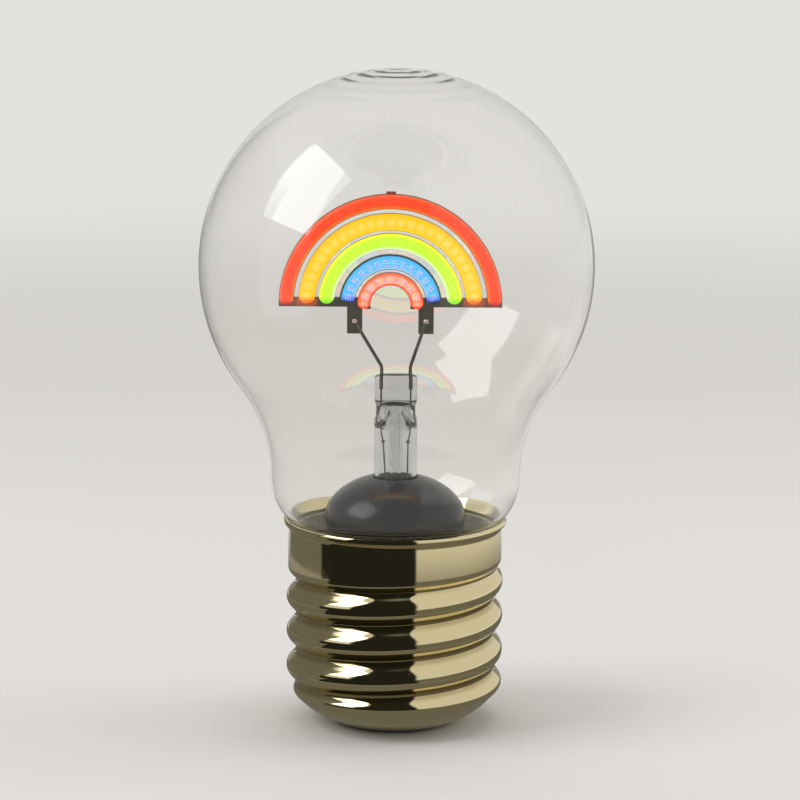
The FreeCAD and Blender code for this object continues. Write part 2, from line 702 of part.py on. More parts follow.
def strip_half(middle, width, end, rounded, face, side):
    """One moulded strip: a low round bead along a half ring, hollowed for the chips."""
    half = width / 2
    crown = (half ** 2 + COAT_HEIGHT ** 2) / (2 * COAT_HEIGHT)
    centre = Vector(middle, face + side * (COAT_HEIGHT - crown), 0)
    outside = Vector(middle + half, face, 0)
    inside = Vector(middle - half, face, 0)
    apex = Vector(middle, face + side * COAT_HEIGHT, 0)
    foot = Vector(middle, face, 0)
    channel = CHIP_WIDTH / 2 + CHIP_GAP
    depth = side * (CHIP_HEIGHT + CHIP_GAP)
    channel_points = [
        inside,
        Vector(middle - channel, face, 0),
        Vector(middle - channel, face + depth, 0),
        Vector(middle + channel, face + depth, 0),
        Vector(middle + channel, face, 0),
        outside,
    ]
    edges = [arc_through(outside, apex, inside)]
    edges += [line(a, b) for a, b in zip(channel_points, channel_points[1:])]
    start = end_angle(middle, end + half if rounded else end)
    section = Part.Face(Part.Wire(edges))
    section.rotate(ORIGIN, Y_AXIS, -start)
    bead = section.revolve(ORIGIN, Y_AXIS, 2 * start - 180)
    if rounded:
        cap_face = Part.Face(Part.Wire([arc_about(centre, apex, outside), line(outside, foot), line(foot, apex)]))
        cap = cap_face.revolve(foot, Y_AXIS, 180)
        cap.rotate(ORIGIN, Y_AXIS, -start)
        bead = bead.fuse([cap, mirrored(cap)])
    bead.translate(Vector(0, 0, Z_RING))
    return bead


def make_strip(middle, width, end, rounded):
    """The strip on the front of the board and the one on its back."""
    front = strip_half(middle, width, end, rounded, BOARD_FRONT, -1)
    back = strip_half(middle, width, end, rounded, BOARD_BACK, 1)
    return in_place(Part.makeCompound([front, back]))


def make_chips(middle, width, end, rounded, count):
    """Light-emitting chips on both faces of one half ring, evenly spaced in the strip."""
    start = end_angle(middle, end + width / 2 if rounded else end)
    first = start + math.degrees(CHIP_LENGTH / middle)
    chips = []
    for face in (BOARD_FRONT - CHIP_HEIGHT, BOARD_BACK):
        for i in range(count):
            chip = block(
                middle - CHIP_WIDTH / 2, middle + CHIP_WIDTH / 2, face, face + CHIP_HEIGHT,
                -CHIP_LENGTH / 2, CHIP_LENGTH / 2)
            chip.rotate(ORIGIN, Y_AXIS, -(first + (180 - 2 * first) * i / (count - 1)))
            chip.translate(Vector(0, 0, Z_RING))
            chips.append(chip)
    return in_place(Part.makeCompound(chips))


def make_chassis():
    """Black frame inside the shell: outer wall, floor, sleeve for the cell and two screw bosses."""
    floor_top = Z_FLOOR + CHASSIS_FLOOR
    sleeve_top = Z_CELL_TOP - SLEEVE_DROP
    body = turned_polygon([
        (0, Z_FLOOR), (CHASSIS_BORE, Z_FLOOR), (CHASSIS_BORE, Z_FLOOR - CHASSIS_SKIRT),
        (CHASSIS_RADIUS, Z_FLOOR - CHASSIS_SKIRT), (CHASSIS_RADIUS, Z_FLANGE),
        (CHASSIS_BORE, Z_FLANGE), (CHASSIS_BORE, floor_top), (SLEEVE_RADIUS, floor_top),
        (SLEEVE_RADIUS, sleeve_top), (SLEEVE_BORE, sleeve_top), (SLEEVE_BORE, floor_top), (0, floor_top),
    ])
    bosses = [cylinder(BOSS_DIAMETER / 2, Z_PLATE_TOP, Z_FLOOR, side * SCREW_X) for side in (-1, 1)]
    pilot = Z_PLATE_TOP + SCREW_BITE
    holes = [cylinder(SCREW_DIAMETER / 2, Z_PLATE_TOP, pilot, side * SCREW_X) for side in (-1, 1)]
    for side in (-1, 1):
        holes.append(cylinder(FEED_RADIUS + PLATE_GAP, Z_FLOOR, floor_top, side * FEED_X))
    slot = STRIP_WIDTH / 2 + STRIP_GAP / 2
    inside = SLEEVE_RADIUS + STRIP_GAP / 2
    outside = SLEEVE_RADIUS + STRIP_THICKNESS + 1.5 * STRIP_GAP
    holes.append(block(-slot, slot, inside, outside, Z_FLOOR, floor_top))
    holes.append(block(-slot, slot, -outside, -inside, Z_FLOOR, floor_top))
    notch_top = floor_top + STRIP_THICKNESS + STRIP_GAP
    holes.append(block(-slot, slot, -SLEEVE_RADIUS, 0, floor_top, notch_top))
    return body.fuse(bosses).cut(holes)


def make_battery_cell():
    """Round lithium cell with a crimp groove near its top."""
    groove = Z_CELL_TOP - 6 * CELL_CRIMP
    return turned_polygon([
        (0, Z_CELL), (CELL_RADIUS, Z_CELL), (CELL_RADIUS, groove),
        (CELL_RADIUS - CELL_CRIMP, groove + CELL_CRIMP), (CELL_RADIUS - CELL_CRIMP, groove + 2 * CELL_CRIMP),
        (CELL_RADIUS, groove + 3 * CELL_CRIMP), (CELL_RADIUS, Z_CELL_TOP), (0, Z_CELL_TOP),
    ])


def make_battery_strip(side, level):
    """Nickel strip from one end of the cell, folded down past the sleeve to the board."""
    half = STRIP_WIDTH / 2
    reach = SLEEVE_RADIUS + STRIP_GAP
    end = reach + STRIP_THICKNESS
    low, high = sorted((-side * half, side * end))
    flat = block(-half, half, low, high, level, level + STRIP_THICKNESS)
    low, high = sorted((side * reach, side * end))
    leg = block(-half, half, low, high, Z_FLOOR, level + STRIP_THICKNESS)
    return flat.fuse(leg).removeSplitter()


def make_control_board():
    """Round circuit board under the chassis floor, cleared for the screw bosses."""
    board = cylinder(PCB_RADIUS, Z_PCB, Z_FLOOR)
    hole = BOSS_DIAMETER / 2 + PCB_GAP
    return board.cut([cylinder(hole, Z_PCB, Z_FLOOR, side * SCREW_X) for side in (-1, 1)])


def make_board_components():
    """Choke, two packages and two rows of capacitors on the underside of the board."""
    row_y = -(PCB_RADIUS - PCB_MARGIN - CHOKE_SIZE)
    half = CHOKE_SIZE / 2
    pieces = [block(-half, half, row_y - half, row_y + half, Z_PCB - CHOKE_HEIGHT, Z_PCB)]
    column = PCB_RADIUS - PCB_MARGIN - CHIP_PACKAGE
    package = CHIP_PACKAGE / 2
    for side in (-1, 1):
        x = side * column
        low = Z_PCB - CHIP_PACKAGE_HEIGHT
        y = CHIP_PACKAGE + BOSS_DIAMETER / 2
        pieces.append(block(x - package, x + package, y - package, y + package, low, Z_PCB))
        for i in range(3):
            left = side * (half + CAPACITOR_SPACING * (i + 1)) - CAPACITOR_WIDTH / 2
            pieces.append(block(
                left, left + CAPACITOR_WIDTH, row_y - CAPACITOR_LENGTH / 2, row_y + CAPACITOR_LENGTH / 2,
                Z_PCB - CAPACITOR_WIDTH, Z_PCB))
    return Part.makeCompound(pieces)


def make_usb_socket():
    """Metal shell of the charging socket, open downwards."""
    low = Z_SHELL + USB_SUNK
    outer = stadium(USB_WIDTH, USB_DEPTH, low, Z_PCB, USB_Y)
    inner = stadium(USB_WIDTH - 2 * USB_WALL, USB_DEPTH - 2 * USB_WALL, low, Z_PCB - USB_WALL, USB_Y)
    return outer.cut(inner)


def make_usb_tongue():
    """Contact tongue in the middle of the socket."""
    half = TONGUE_WIDTH / 2
    low = Z_SHELL + USB_SUNK + TONGUE_RECESS
    y0 = USB_Y - TONGUE_THICKNESS / 2
    return block(-half, half, y0, y0 + TONGUE_THICKNESS, low, Z_PCB - USB_WALL)


def make_switch_body():
    """Push switch on the underside of the board, with a guide for its plunger."""
    half = SWITCH_WIDTH / 2
    depth = PLUNGER_INSIDE + BUTTON_TRAVEL + BUTTON_STOP_GAP
    guide = cylinder(PLUNGER_DIAMETER / 2 + PLUNGER_GAP, Z_SWITCH, Z_SWITCH + depth)
    return block(-half, half, -half, half, Z_SWITCH, Z_PCB).cut(guide)


def make_switch_plunger():
    """Plunger of the switch, standing on the button."""
    return cylinder(PLUNGER_DIAMETER / 2, Z_BUTTON_TOP, Z_SWITCH + PLUNGER_INSIDE)


def make_power_button():
    """Round push-button with a dished face below and a flange that stops it above the plate."""
    rim = on_axis_plane(BUTTON_RADIUS, Z_SHELL)
    edges = [
        arc_through(
            on_axis_plane(0, Z_SHELL + BUTTON_DISH),
            on_axis_plane(BUTTON_RADIUS / 2, Z_SHELL + 0.76 * BUTTON_DISH), rim),
        line(rim, on_axis_plane(BUTTON_RADIUS, Z_PLATE_TOP)),
        line(on_axis_plane(BUTTON_RADIUS, Z_PLATE_TOP), on_axis_plane(BUTTON_FLANGE_RADIUS, Z_PLATE_TOP)),
        line(on_axis_plane(BUTTON_FLANGE_RADIUS, Z_PLATE_TOP), on_axis_plane(BUTTON_FLANGE_RADIUS, Z_BUTTON_TOP)),
        line(on_axis_plane(BUTTON_FLANGE_RADIUS, Z_BUTTON_TOP), on_axis_plane(0, Z_BUTTON_TOP)),
        line(on_axis_plane(0, Z_BUTTON_TOP), on_axis_plane(0, Z_SHELL + BUTTON_DISH)),
    ]
    return turned(edges)


def make_base_plate():
    """Black plate that closes the base, with holes for the button, the socket and the screws."""
    groove = Z_SHELL + FOOT_SUNK
    body = turned_polygon([
        (BUTTON_RADIUS + BUTTON_GAP, Z_SHELL), (FOOT_INNER, Z_SHELL), (FOOT_INNER, groove),
        (FOOT_OUTER, groove), (FOOT_OUTER, Z_SHELL), (PLATE_RADIUS, Z_SHELL),
        (PLATE_RADIUS, Z_PLATE_SEAT), (PLATE_FLANGE_RADIUS, Z_PLATE_SEAT),
        (PLATE_FLANGE_RADIUS, Z_PLATE_TOP), (BUTTON_RADIUS + BUTTON_GAP, Z_PLATE_TOP),
    ])
    holes = [stadium(USB_WIDTH + 2 * USB_GAP, USB_DEPTH + 2 * USB_GAP, Z_SHELL, Z_PLATE_TOP, USB_Y)]
    seat = Z_SHELL + SCREW_SUNK + SCREW_HEAD
    for side in (-1, 1):
        holes.append(cylinder(SCREW_DIAMETER / 2 + SCREW_GAP, Z_SHELL, Z_PLATE_TOP, side * SCREW_X))
        holes.append(cylinder(SCREW_HEAD_DIAMETER / 2 + SCREW_GAP, Z_SHELL, seat, side * SCREW_X))
    return body.cut(holes)


def make_base_screws():
    """Two screws from below through the plate into the chassis bosses."""
    low = Z_SHELL + SCREW_SUNK
    seat = low + SCREW_HEAD
    top = Z_PLATE_TOP + SCREW_BITE
    screw = turned_polygon([
        (0, low), (SCREW_HEAD_DIAMETER / 2, low), (SCREW_HEAD_DIAMETER / 2, seat),
        (SCREW_DIAMETER / 2, seat), (SCREW_DIAMETER / 2, top), (0, top),
    ])
    half = SCREW_SLOT / 2
    arm = 0.35 * SCREW_HEAD_DIAMETER
    cross = [
        block(-arm, arm, -half, half, low, low + SCREW_SLOT),
        block(-half, half, -arm, arm, low, low + SCREW_SLOT),
    ]
    screw = screw.cut(cross)
    return Part.makeCompound([screw.translated(Vector(side * SCREW_X, 0, 0)) for side in (-1, 1)])


def make_foot_ring():
    """Soft ring that the lamp stands on, let into the plate."""
    top = Z_SHELL + FOOT_SUNK
    return cylinder(FOOT_OUTER, 0.0, top).cut(cylinder(FOOT_INNER, 0.0, top))


def make_pieces():
    """Every piece of the lamp by name."""
    strips = {
        "red": (RED_MIDDLE, RED_WIDTH, RED_END, True, RED_CHIPS),
        "amber": (AMBER_MIDDLE, AMBER_WIDTH, AMBER_END, True, AMBER_CHIPS),
        "lime": (LIME_MIDDLE, LIME_WIDTH, LIME_END, True, LIME_CHIPS),
        "blue": (BLUE_MIDDLE, BLUE_WIDTH, BLUE_END, False, BLUE_CHIPS),
        "coral": (CORAL_MIDDLE, CORAL_WIDTH, CORAL_END, True, CORAL_CHIPS),
    }
    leads = [make_lead_wire(-1, LEAD_LEFT_TURN), make_lead_wire(1, LEAD_RIGHT_TURN)]
    supports = [make_support_wire(-1), make_support_wire(1)]
    board = make_led_board()
    pieces = {
        "glass_envelope": make_glass_envelope(),
        "bedding_cement": make_bedding_cement(),
        "screw_shell": make_screw_shell(),
        "dome_cover": make_dome_cover(),
        "stem_tube": make_stem_tube(leads + supports),
        "exhaust_tube": make_exhaust_tube(),
        "lead_wire_left": leads[0],
        "lead_wire_right": leads[1],
        "support_wire_left": supports[0],
        "support_wire_right": supports[1],
        "tab_solder": make_tab_solder(board, supports),
        "led_board": board,
        "chassis": make_chassis(),
        "battery_cell": make_battery_cell(),
        "battery_strip_positive": make_battery_strip(1, Z_CELL_TOP),
        "battery_strip_negative": make_battery_strip(-1, Z_CELL - STRIP_THICKNESS),
        "feed_wire_left": make_feed_wire(-1, LEAD_LEFT_TURN),
        "feed_wire_right": make_feed_wire(1, LEAD_RIGHT_TURN),
        "control_board": make_control_board(),
        "board_components": make_board_components(),
        "usb_socket": make_usb_socket(),
        "usb_tongue": make_usb_tongue(),
        "switch_body": make_switch_body(),
        "switch_plunger": make_switch_plunger(),
        "power_button": make_power_button(),
        "base_plate": make_base_plate(),
        "base_screws": make_base_screws(),
        "foot_ring": make_foot_ring(),
    }
    for colour, (middle, width, end, rounded, count) in strips.items():
        pieces[colour + "_coat"] = make_strip(middle, width, end, rounded)
        pieces[colour + "_chips"] = make_chips(middle, width, end, rounded, count)
    return pieces


def main():
    """Write one STEP file for each piece."""
    os.makedirs("parts", exist_ok=True)
    for name, shape in make_pieces().items():
        shape.exportStep("parts/%s.step" % name)
        print("%-24s solids %3d  valid %s  volume %10.2f" % (
            name, len(shape.Solids), shape.isValid(), shape.Volume))


main()
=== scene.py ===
"""Rainbow lamp: finishes and fine surfaces round the packed frame, laid out as an add-on."""

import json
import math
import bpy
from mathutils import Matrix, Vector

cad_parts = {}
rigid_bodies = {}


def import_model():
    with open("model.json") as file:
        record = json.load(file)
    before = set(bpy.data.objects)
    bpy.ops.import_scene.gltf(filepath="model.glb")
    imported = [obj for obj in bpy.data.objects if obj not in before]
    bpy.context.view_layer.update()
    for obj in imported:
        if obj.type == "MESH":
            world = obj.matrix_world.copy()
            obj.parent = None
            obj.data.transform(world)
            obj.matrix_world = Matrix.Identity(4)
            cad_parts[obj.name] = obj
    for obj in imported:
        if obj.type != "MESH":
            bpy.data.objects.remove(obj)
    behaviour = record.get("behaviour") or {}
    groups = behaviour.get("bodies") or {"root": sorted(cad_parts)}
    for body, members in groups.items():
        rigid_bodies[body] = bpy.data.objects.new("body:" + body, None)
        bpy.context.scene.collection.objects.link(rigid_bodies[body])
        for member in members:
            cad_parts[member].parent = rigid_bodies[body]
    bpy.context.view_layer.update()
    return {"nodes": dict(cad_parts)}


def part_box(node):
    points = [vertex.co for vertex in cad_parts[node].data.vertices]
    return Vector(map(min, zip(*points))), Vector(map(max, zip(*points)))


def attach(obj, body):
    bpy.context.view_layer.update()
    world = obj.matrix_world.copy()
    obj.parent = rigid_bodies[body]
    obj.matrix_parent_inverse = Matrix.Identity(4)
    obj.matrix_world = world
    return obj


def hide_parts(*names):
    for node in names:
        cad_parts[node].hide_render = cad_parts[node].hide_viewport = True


bl_info = {
    "name": "Rainbow lamp",
    "version": (1, 0, 0),
    "blender": (4, 5, 0),
    "location": "View3D > Sidebar > Rainbow lamp",
    "description": "Dresses the rainbow bulb lamp: glass, brass, light strips and stage",
    "category": "Object",
}

from functools import partial

import bmesh
import bpy
import numpy as np
from bpy.props import FloatProperty, FloatVectorProperty, IntProperty, PointerProperty
from mathutils import Matrix, Vector

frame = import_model()
MM = 0.001
TURN = 2 * math.pi
QUARTER = math.pi / 2

# Columns of the pieces that go round the axis, and of a card.
BULB_COLUMNS = 176
STEM_COLUMNS = 96
TUBE_COLUMNS = 48
SHELL_COLUMNS = 224
DOME_COLUMNS = 144
CARD_COLUMNS = 65

# Points nearer than the first are welded, and edges shorter than the second are dropped, in metres.
WELD = 1e-7
SLIVER = 1e-8

# Soft lights: name, place and size in metres, power in watts, and whether polished surfaces show it.
# They all face the point LIGHT_AIM.
LIGHTS = (
    ("window_left", (-0.60, -0.17, 0.62), (0.55, 0.55), 3.1, True),
    ("side_right", (0.62, 0.08, 0.34), (0.45, 0.70), 1.6, False),
    ("overhead", (0.05, 0.25, 0.95), (0.80, 0.60), 2.6, False),
)
LIGHT_AIM = (0.0, 0.0, 0.07)

# Cards: name, degrees round the lamp from the front, radii and heights of both long edges in
# millimetres, and the colour of the stage that they have. They thin out over CARD_EDGE at both ends.
CARDS = (
    ("front_card", (-48, 23), (160, 160), (0.5, 600), "card"),
    ("low_card", (-82, -42), (162, 162), (0.5, 50), "card"),
    ("left_screen", (-150, -74), (164, 164), (0.5, 250), "screen"),
    ("back_screen", (150, 212), (300, 300), (0.5, 100), "back"),
    ("front_ground", (-72, 23), (45, 300), (0.30, 0.30), "card"),
    ("side_ground", (17, 294), (45, 220), (0.25, 0.25), "screen"),
    ("foot_ground", (-100, 100), (15.5, 60), (0.20, 0.20), "screen"),
    ("heel_ground", (80, 280), (15.5, 60), (0.15, 0.15), "screen"),
)
CARD_EDGE = math.radians(4.0)


def srgb(code):
    """Linear RGBA of an sRGB hex colour: c/12.92 below 0.04045, else ((c+0.055)/1.055)^2.4."""
    parts = [int(code[i:i + 2], 16) / 255 for i in (1, 3, 5)]
    linear = [c / 12.92 if c <= 0.04045 else ((c + 0.055) / 1.055) ** 2.4 for c in parts]
    return (*linear, 1.0)


def number(name, description, value, **kind):
    """A number property."""
    return FloatProperty(name=name, description=description, default=value, **kind)


def length(name, description, millimetres):
    """A length property in metres with its default given in millimetres."""
    return number(name, description, millimetres * MM, unit="LENGTH", precision=5)


def rotation(name, description, degrees):
    """An angle property in radians with its default given in degrees."""
    return number(name, description, math.radians(degrees), unit="ROTATION")


def colour(name, description, code):
    """A colour property with its default given as an sRGB hex value."""
    return FloatVectorProperty(
        name=name, description=description, default=srgb(code), size=4, subtype="COLOR", min=0.0, max=1.0)


class GlassSizes(bpy.types.PropertyGroup):
    """Outline of the blown bulb."""

    radius: length("Bulb radius", "Radius of the round part of the bulb", 42.5)
    centre: length("Bulb centre", "Height of the centre of the round part", 100.1)
    wall: length("Wall", "Thickness of the glass", 1.0)
    neck_radius: length("Neck radius", "Widest radius of the neck above the collar", 27.1)
    neck_height: length("Neck height", "Height of the widest part of the neck", 54.2)
    shoulder: length("Shoulder", "Radius of the curve from the neck to the collar", 13.0)
    tail_radius: length("Tail radius", "Radius of the straight tail in the collar", 21.9)
    tail_fillet: length("Tail fillet", "Radius of the curve above the tail", 4.0)
    tail_end: length("Tail end", "Height of the end of the tail", 36.9)
    crown: length("Crown", "Extra thickness where the bulb was gathered at the top", 0.20)
    crown_width: length("Crown width", "Reach of the thick glass from the axis", 15.0)
    crown_ripple: length("Crown ripple", "Spacing of the faint rings at the top", 3.6)
    crown_rings: number("Crown rings", "Share of the extra thickness that the rings take", 0.16)


class ShellSizes(bpy.types.PropertyGroup):
    """Spun brass base."""

    wall: length("Sheet", "Thickness of the brass sheet", 0.8)
    bottom: length("Bottom", "Height of the flat bottom", 0.6)
    foot: length("Foot radius", "Radius of the flat bottom", 13.85)
    hole: length("Bottom hole", "Radius of the hole for the base plate", 13.0)
    hole_edge: length("Hole edge", "Bevel of the hole for the base plate", 0.25)
    bowl_top: length("Bowl top", "Height where the bowl turns into the thread", 8.2)
    fullness: number("Bowl fullness", "Power of the bowl's superellipse", 1.7)
    mean: length("Thread mean", "Mean radius of the thread", 22.525)
    depth: length("Thread depth", "From the root of the thread to its crest", 2.05)
    pitch: length("Thread pitch", "Rise of the thread in one turn", 7.74)
    crest: number("Crest fullness", "How full the crests are", 0.28)
    run_in: length("Run-in", "Height over which the thread grows out of the bowl", 5.0)
    start: number("Thread start", "Share of the run-in below the bowl's top", 0.75)
    collar_low: length("Collar bottom", "Middle height of the swell into the collar", 34.0)
    collar_swell: length("Collar swell", "Height of the swell into the collar", 3.4)
    collar_lead: length("Collar lead", "How far the swell rises and falls round the shell", 0.65)
    collar_radius: length("Collar radius", "Outer radius of the plain collar", 23.2)
    step: length("Collar step", "Height of the step that carries the dome", 35.2)
    flare: length("Flare", "Height of the flare under the lip", 1.2)
    flare_power: number("Flare power", "How late the flare turns outwards", 2.5)
    bead: length("Bead", "Height of the lip's bead", 1.1)
    bead_bulge: number("Bead bulge", "How far the bead stands out, as a share of its height", 0.15)
    lip_top: length("Lip top", "Height of the lip", 45.1)
    lip_bore: length("Lip bore", "Inner radius of the lip's edge", 23.53)
    lip_edge: length("Lip edge", "Width of the lip's edge", 0.55)


class StemSizes(bpy.types.PropertyGroup):
    """Glass stem and the dome it stands in."""

    seat: length("Seat", "Height of the stem's lower end", 50.195)
    radius: length("Tube radius", "Radius of the round tube", 4.65)
    wall: length("Tube wall", "Thickness of the tube's glass", 0.85)
    tube: length("Tube length", "Length of the round tube", 16.7)
    taper: length("Taper", "Height over which the tube is drawn flat", 4.3)
    pinch: length("Pinch height", "Height of the flat pinch", 5.2)
    pinch_width: length("Pinch width", "Width of the pinch", 9.2)
    pinch_thickness: length("Pinch thickness", "Thickness of the pinch", 3.3)
    exhaust: length("Exhaust radius", "Radius of the thin tube inside", 1.6)
    exhaust_bore: length("Exhaust bore", "Radius of the thin tube's bore", 0.8)
    fuse: length("Fuse", "Reach of the melted joint above and below the taper", 1.4)
    dome_radius: length("Dome radius", "Widest radius of the black dome", 15.35)
    dome_centre: length("Dome centre", "Height of the dome's widest part", 44.8)
    dome_rise: length("Dome rise", "Rise of the dome's ellipse", 10.1)
    dome_wall: length("Dome wall", "Thickness of the dome", 1.5)
    dome_flange: length("Dome flange", "Radius of the flange in the collar", 22.2)
    flange_height: length("Flange height", "Thickness of the flange", 1.7)
    dome_bore: length("Skirt bore", "Inner radius of the dome's skirt", 13.35)


class RainbowSizes(bpy.types.PropertyGroup):
    """Board that carries the light strips."""

    centre: length("Ring centre", "Height of the centre of the rings", 91.495)
    offset: length("Ring offset", "How far the rings stand to one side of the axis", -1.3)
    front: length("Board front", "Position of the board's front face", 0.375)
    back: length("Board back", "Position of the board's back face", 1.375)
    rise: length("Strip height", "Height of a strip over the board", 1.1)


class Finishes(bpy.types.PropertyGroup):
    """Colours of the lamp."""

    brass: colour("Brass", "Polished brass", "#ECDFB2")
    # Painted shade, with tarnish: the roots of the thread are mixed towards this colour.
    brass_tarnish_and_shade: colour("Brass in the roots", "Brass that polishing missed", "#A5905C")
    black: colour("Black plastic", "Moulded black plastic", "#060709")
    board: colour("Board", "Solder mask of the light board", "#3C3D22")
    wire: colour("Support wire", "Nickel-iron wire", "#66645E")


class StageSettings(bpy.types.PropertyGroup):
    """Camera, floor and light."""

    distance: length("Camera distance", "From the axis to the camera along the floor", 785.0)
    camera_height: length("Camera height", "Height of the camera over the floor", 220.6)
    camera_side: length("Camera side", "How far the camera stands to the right of the axis", 0.9)
    pitch: rotation("Pitch", "Camera tilt down", 10.8)
    roll: rotation("Roll", "Camera turn about its view", 0.4)
    focal: number("Focal length", "In millimetres on a 36 mm sensor", 166.3)
    floor: colour("Floor", "Pale floor", "#E4E2DF")
    backdrop: colour("Backdrop", "Pale surroundings", "#DAD8D5")
    card: colour("Card", "Black card that polished surfaces show", "#24231F")
    screen: colour("Screen", "Grey screen that polished surfaces show", "#6E6C66")
    back: colour("Back screen", "Paler screen behind the lamp that polished surfaces show", "#8A8780")


def strip_group(label, middle, width, end, chips, core, inner, outer, tip, spot):
    """PropertyGroup of one light strip, with its own defaults."""
    fields = {
        "middle": length("Middle", "Radius of the strip's middle", middle),
        "width": length("Width", "Width of the strip", width),
        "end": length("End", "Height of the strip's ends over the ring centre", end),
        "chips": IntProperty(name="Chips", description="Chips that glow through the strip", default=chips),
        "core": colour("Core", "Colour along the middle", core),
        "inner": colour("Inner edge", "Colour at the inner edge", inner),
        "outer": colour("Outer edge", "Colour at the outer edge", outer),
        "tip": colour("Tip", "Colour at the lower ends", tip),
        "spot": colour("Spot", "Colour over a chip", spot),
    }
    body = {"__doc__": label + " light strip.", "__annotations__": fields}
    return type(label + "Strip", (bpy.types.PropertyGroup,), body)


STRIPS = {
    "red": strip_group(
        "Red", middle=22.5, width=3.0, end=-0.2, chips=24,
        core="#FF3E0A", inner="#FF7410", outer="#FF6238", tip="#98000E", spot="#FF4612"),
    "amber": strip_group(
        "Amber", middle=18.125, width=3.6, end=0.3, chips=26,
        core="#FFCE14", inner="#FFC204", outer="#FFC204", tip="#FF5A00", spot="#FFDA5C"),
    "lime": strip_group(
        "Lime", middle=13.9, width=3.36, end=0.3, chips=20,
        core="#C8FF30", inner="#E6FDC8", outer="#FBFF30", tip="#8CEC10", spot="#CEFF3C"),
    "blue": strip_group(
        "Blue", middle=9.33, width=2.84, end=1.0, chips=14,
        core="#4EC0FA", inner="#A0CCF4", outer="#44AEF0", tip="#3C5CEC", spot="#78CEFC"),
    "coral": strip_group(
        "Coral", middle=5.75, width=2.76, end=-0.8, chips=8,
        core="#FA8A5C", inner="#FF2E08", outer="#FF5A0C", tip="#FF3A10", spot="#FFC0A4"),
}
GROUPS = {
    "glass": GlassSizes,
    "shell": ShellSizes,
    "stem": StemSizes,
    "rainbow": RainbowSizes,
    **STRIPS,
    "finish": Finishes,
    "stage": StageSettings,
}


def settings(name):
    """One group of the lamp's settings in this scene."""
    return getattr(bpy.context.scene, "lamp_" + name)


def smooth_step(share):
    """3t^2 - 2t^3 of a share held between 0 and 1."""
    t = np.clip(share, 0.0, 1.0)
    return t * t * (3 - 2 * t)


def arc(centre, radius, start, end, count, rise=None):
    """Points (r, z) of centre + (radius cos a, rise sin a), with a from start to end, and the
    radius for the rise where none is given."""
    a = np.linspace(start, end, count)
    return np.column_stack([centre[0] + radius * np.cos(a), centre[1] + (rise or radius) * np.sin(a)])


def chain(*parts):
    """One profile of several, without the repeated points where they meet."""
    kept = [parts[0]] + [part[1:] for part in parts[1:]]
    return np.vstack(kept)


def legs(start, *steps):
    """Profile of straight runs from corner to corner. A step is the next corner (r, z) and how many
    even points lie on the run to it, both ends included."""
    corners = [start] + [corner for corner, count in steps]
    return chain(*(np.linspace(a, b, count) for a, (b, count) in zip(corners, steps)))


def around(columns):
    """Even angles of one turn."""
    return np.arange(columns) * TURN / columns


def polar(r, a, z):
    """Points (r cos a, r sin a, z)."""
    return np.stack(np.broadcast_arrays(r * np.cos(a), r * np.sin(a), z), axis=-1)


def revolve(profile, columns):
    """Grid of a profile turned about Z: (r cos a, r sin a, z) at each profile point and angle."""
    return polar(profile[:, :1], around(columns), profile[:, 1:])


def grid_faces(rows, columns, wrap_rows, wrap_columns):
    """Vertex numbers of the quads of a grid, closed on itself where asked."""
    index = np.arange(rows * columns).reshape(rows, columns)
    if wrap_rows:
        index = np.vstack([index, index[:1]])
    if wrap_columns:
        index = np.hstack([index, index[:, :1]])
    corners = [index[:-1, :-1], index[:-1, 1:], index[1:, 1:], index[1:, :-1]]
    return np.stack(corners, axis=-1).reshape(-1, 4)


def mesh_of(name, grids, wrap_rows, wrap_columns, sharp):
    """A welded, outward-facing mesh of one or more grids of points, smooth but at edges that turn
    by more than the sharp angle in degrees."""
    points, faces, first = [], [], 0
    for grid in grids:
        rows, columns = grid.shape[:2]
        faces.append(grid_faces(rows, columns, wrap_rows, wrap_columns) + first)
        points.append(grid.reshape(-1, 3))
        first += rows * columns
    points, faces = np.vstack(points), np.vstack(faces)
    mesh = bpy.data.meshes.new(name)
    mesh.vertices.add(len(points))
    mesh.vertices.foreach_set("co", points.ravel())
    mesh.loops.add(faces.size)
    mesh.loops.foreach_set("vertex_index", faces.ravel())
    mesh.polygons.add(len(faces))
    mesh.polygons.foreach_set("loop_start", np.arange(len(faces)) * 4)
    mesh.update(calc_edges=True)
    work = bmesh.new()
    work.from_mesh(mesh)
    bmesh.ops.remove_doubles(work, verts=work.verts, dist=WELD)
    bmesh.ops.dissolve_degenerate(work, edges=work.edges, dist=SLIVER)
    bmesh.ops.recalc_face_normals(work, faces=work.faces)
    work.to_mesh(mesh)
    work.free()
    mesh.polygons.foreach_set("use_smooth", np.ones(len(mesh.polygons), bool))
    mesh.set_sharp_from_angle(angle=math.radians(sharp))
    return mesh


def add_object(name, mesh, material):
    """A new object of a mesh in one finish."""
    item = bpy.data.objects.new(name, mesh)
    bpy.context.scene.collection.objects.link(item)
    item.data.materials.append(material)
    return item


def make_piece(name, grids, material, replaces, closed=False, sharp=35.0):
    """A new piece of the lamp that stands for CAD nodes and rides on the lamp. Its columns go all
    the way round, and where it is closed, so do its rows."""
    mesh = mesh_of(name, grids, wrap_rows=closed, wrap_columns=True, sharp=sharp)
    piece = add_object(name, mesh, material)
    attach(piece, "lamp")
    if replaces:
        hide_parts(*replaces)
    return piece


def dress(material, *nodes):
    """Gives CAD nodes a finish."""
    for node in nodes:
        slots = frame["nodes"][node].data.materials
        slots.clear()
        slots.append(material)


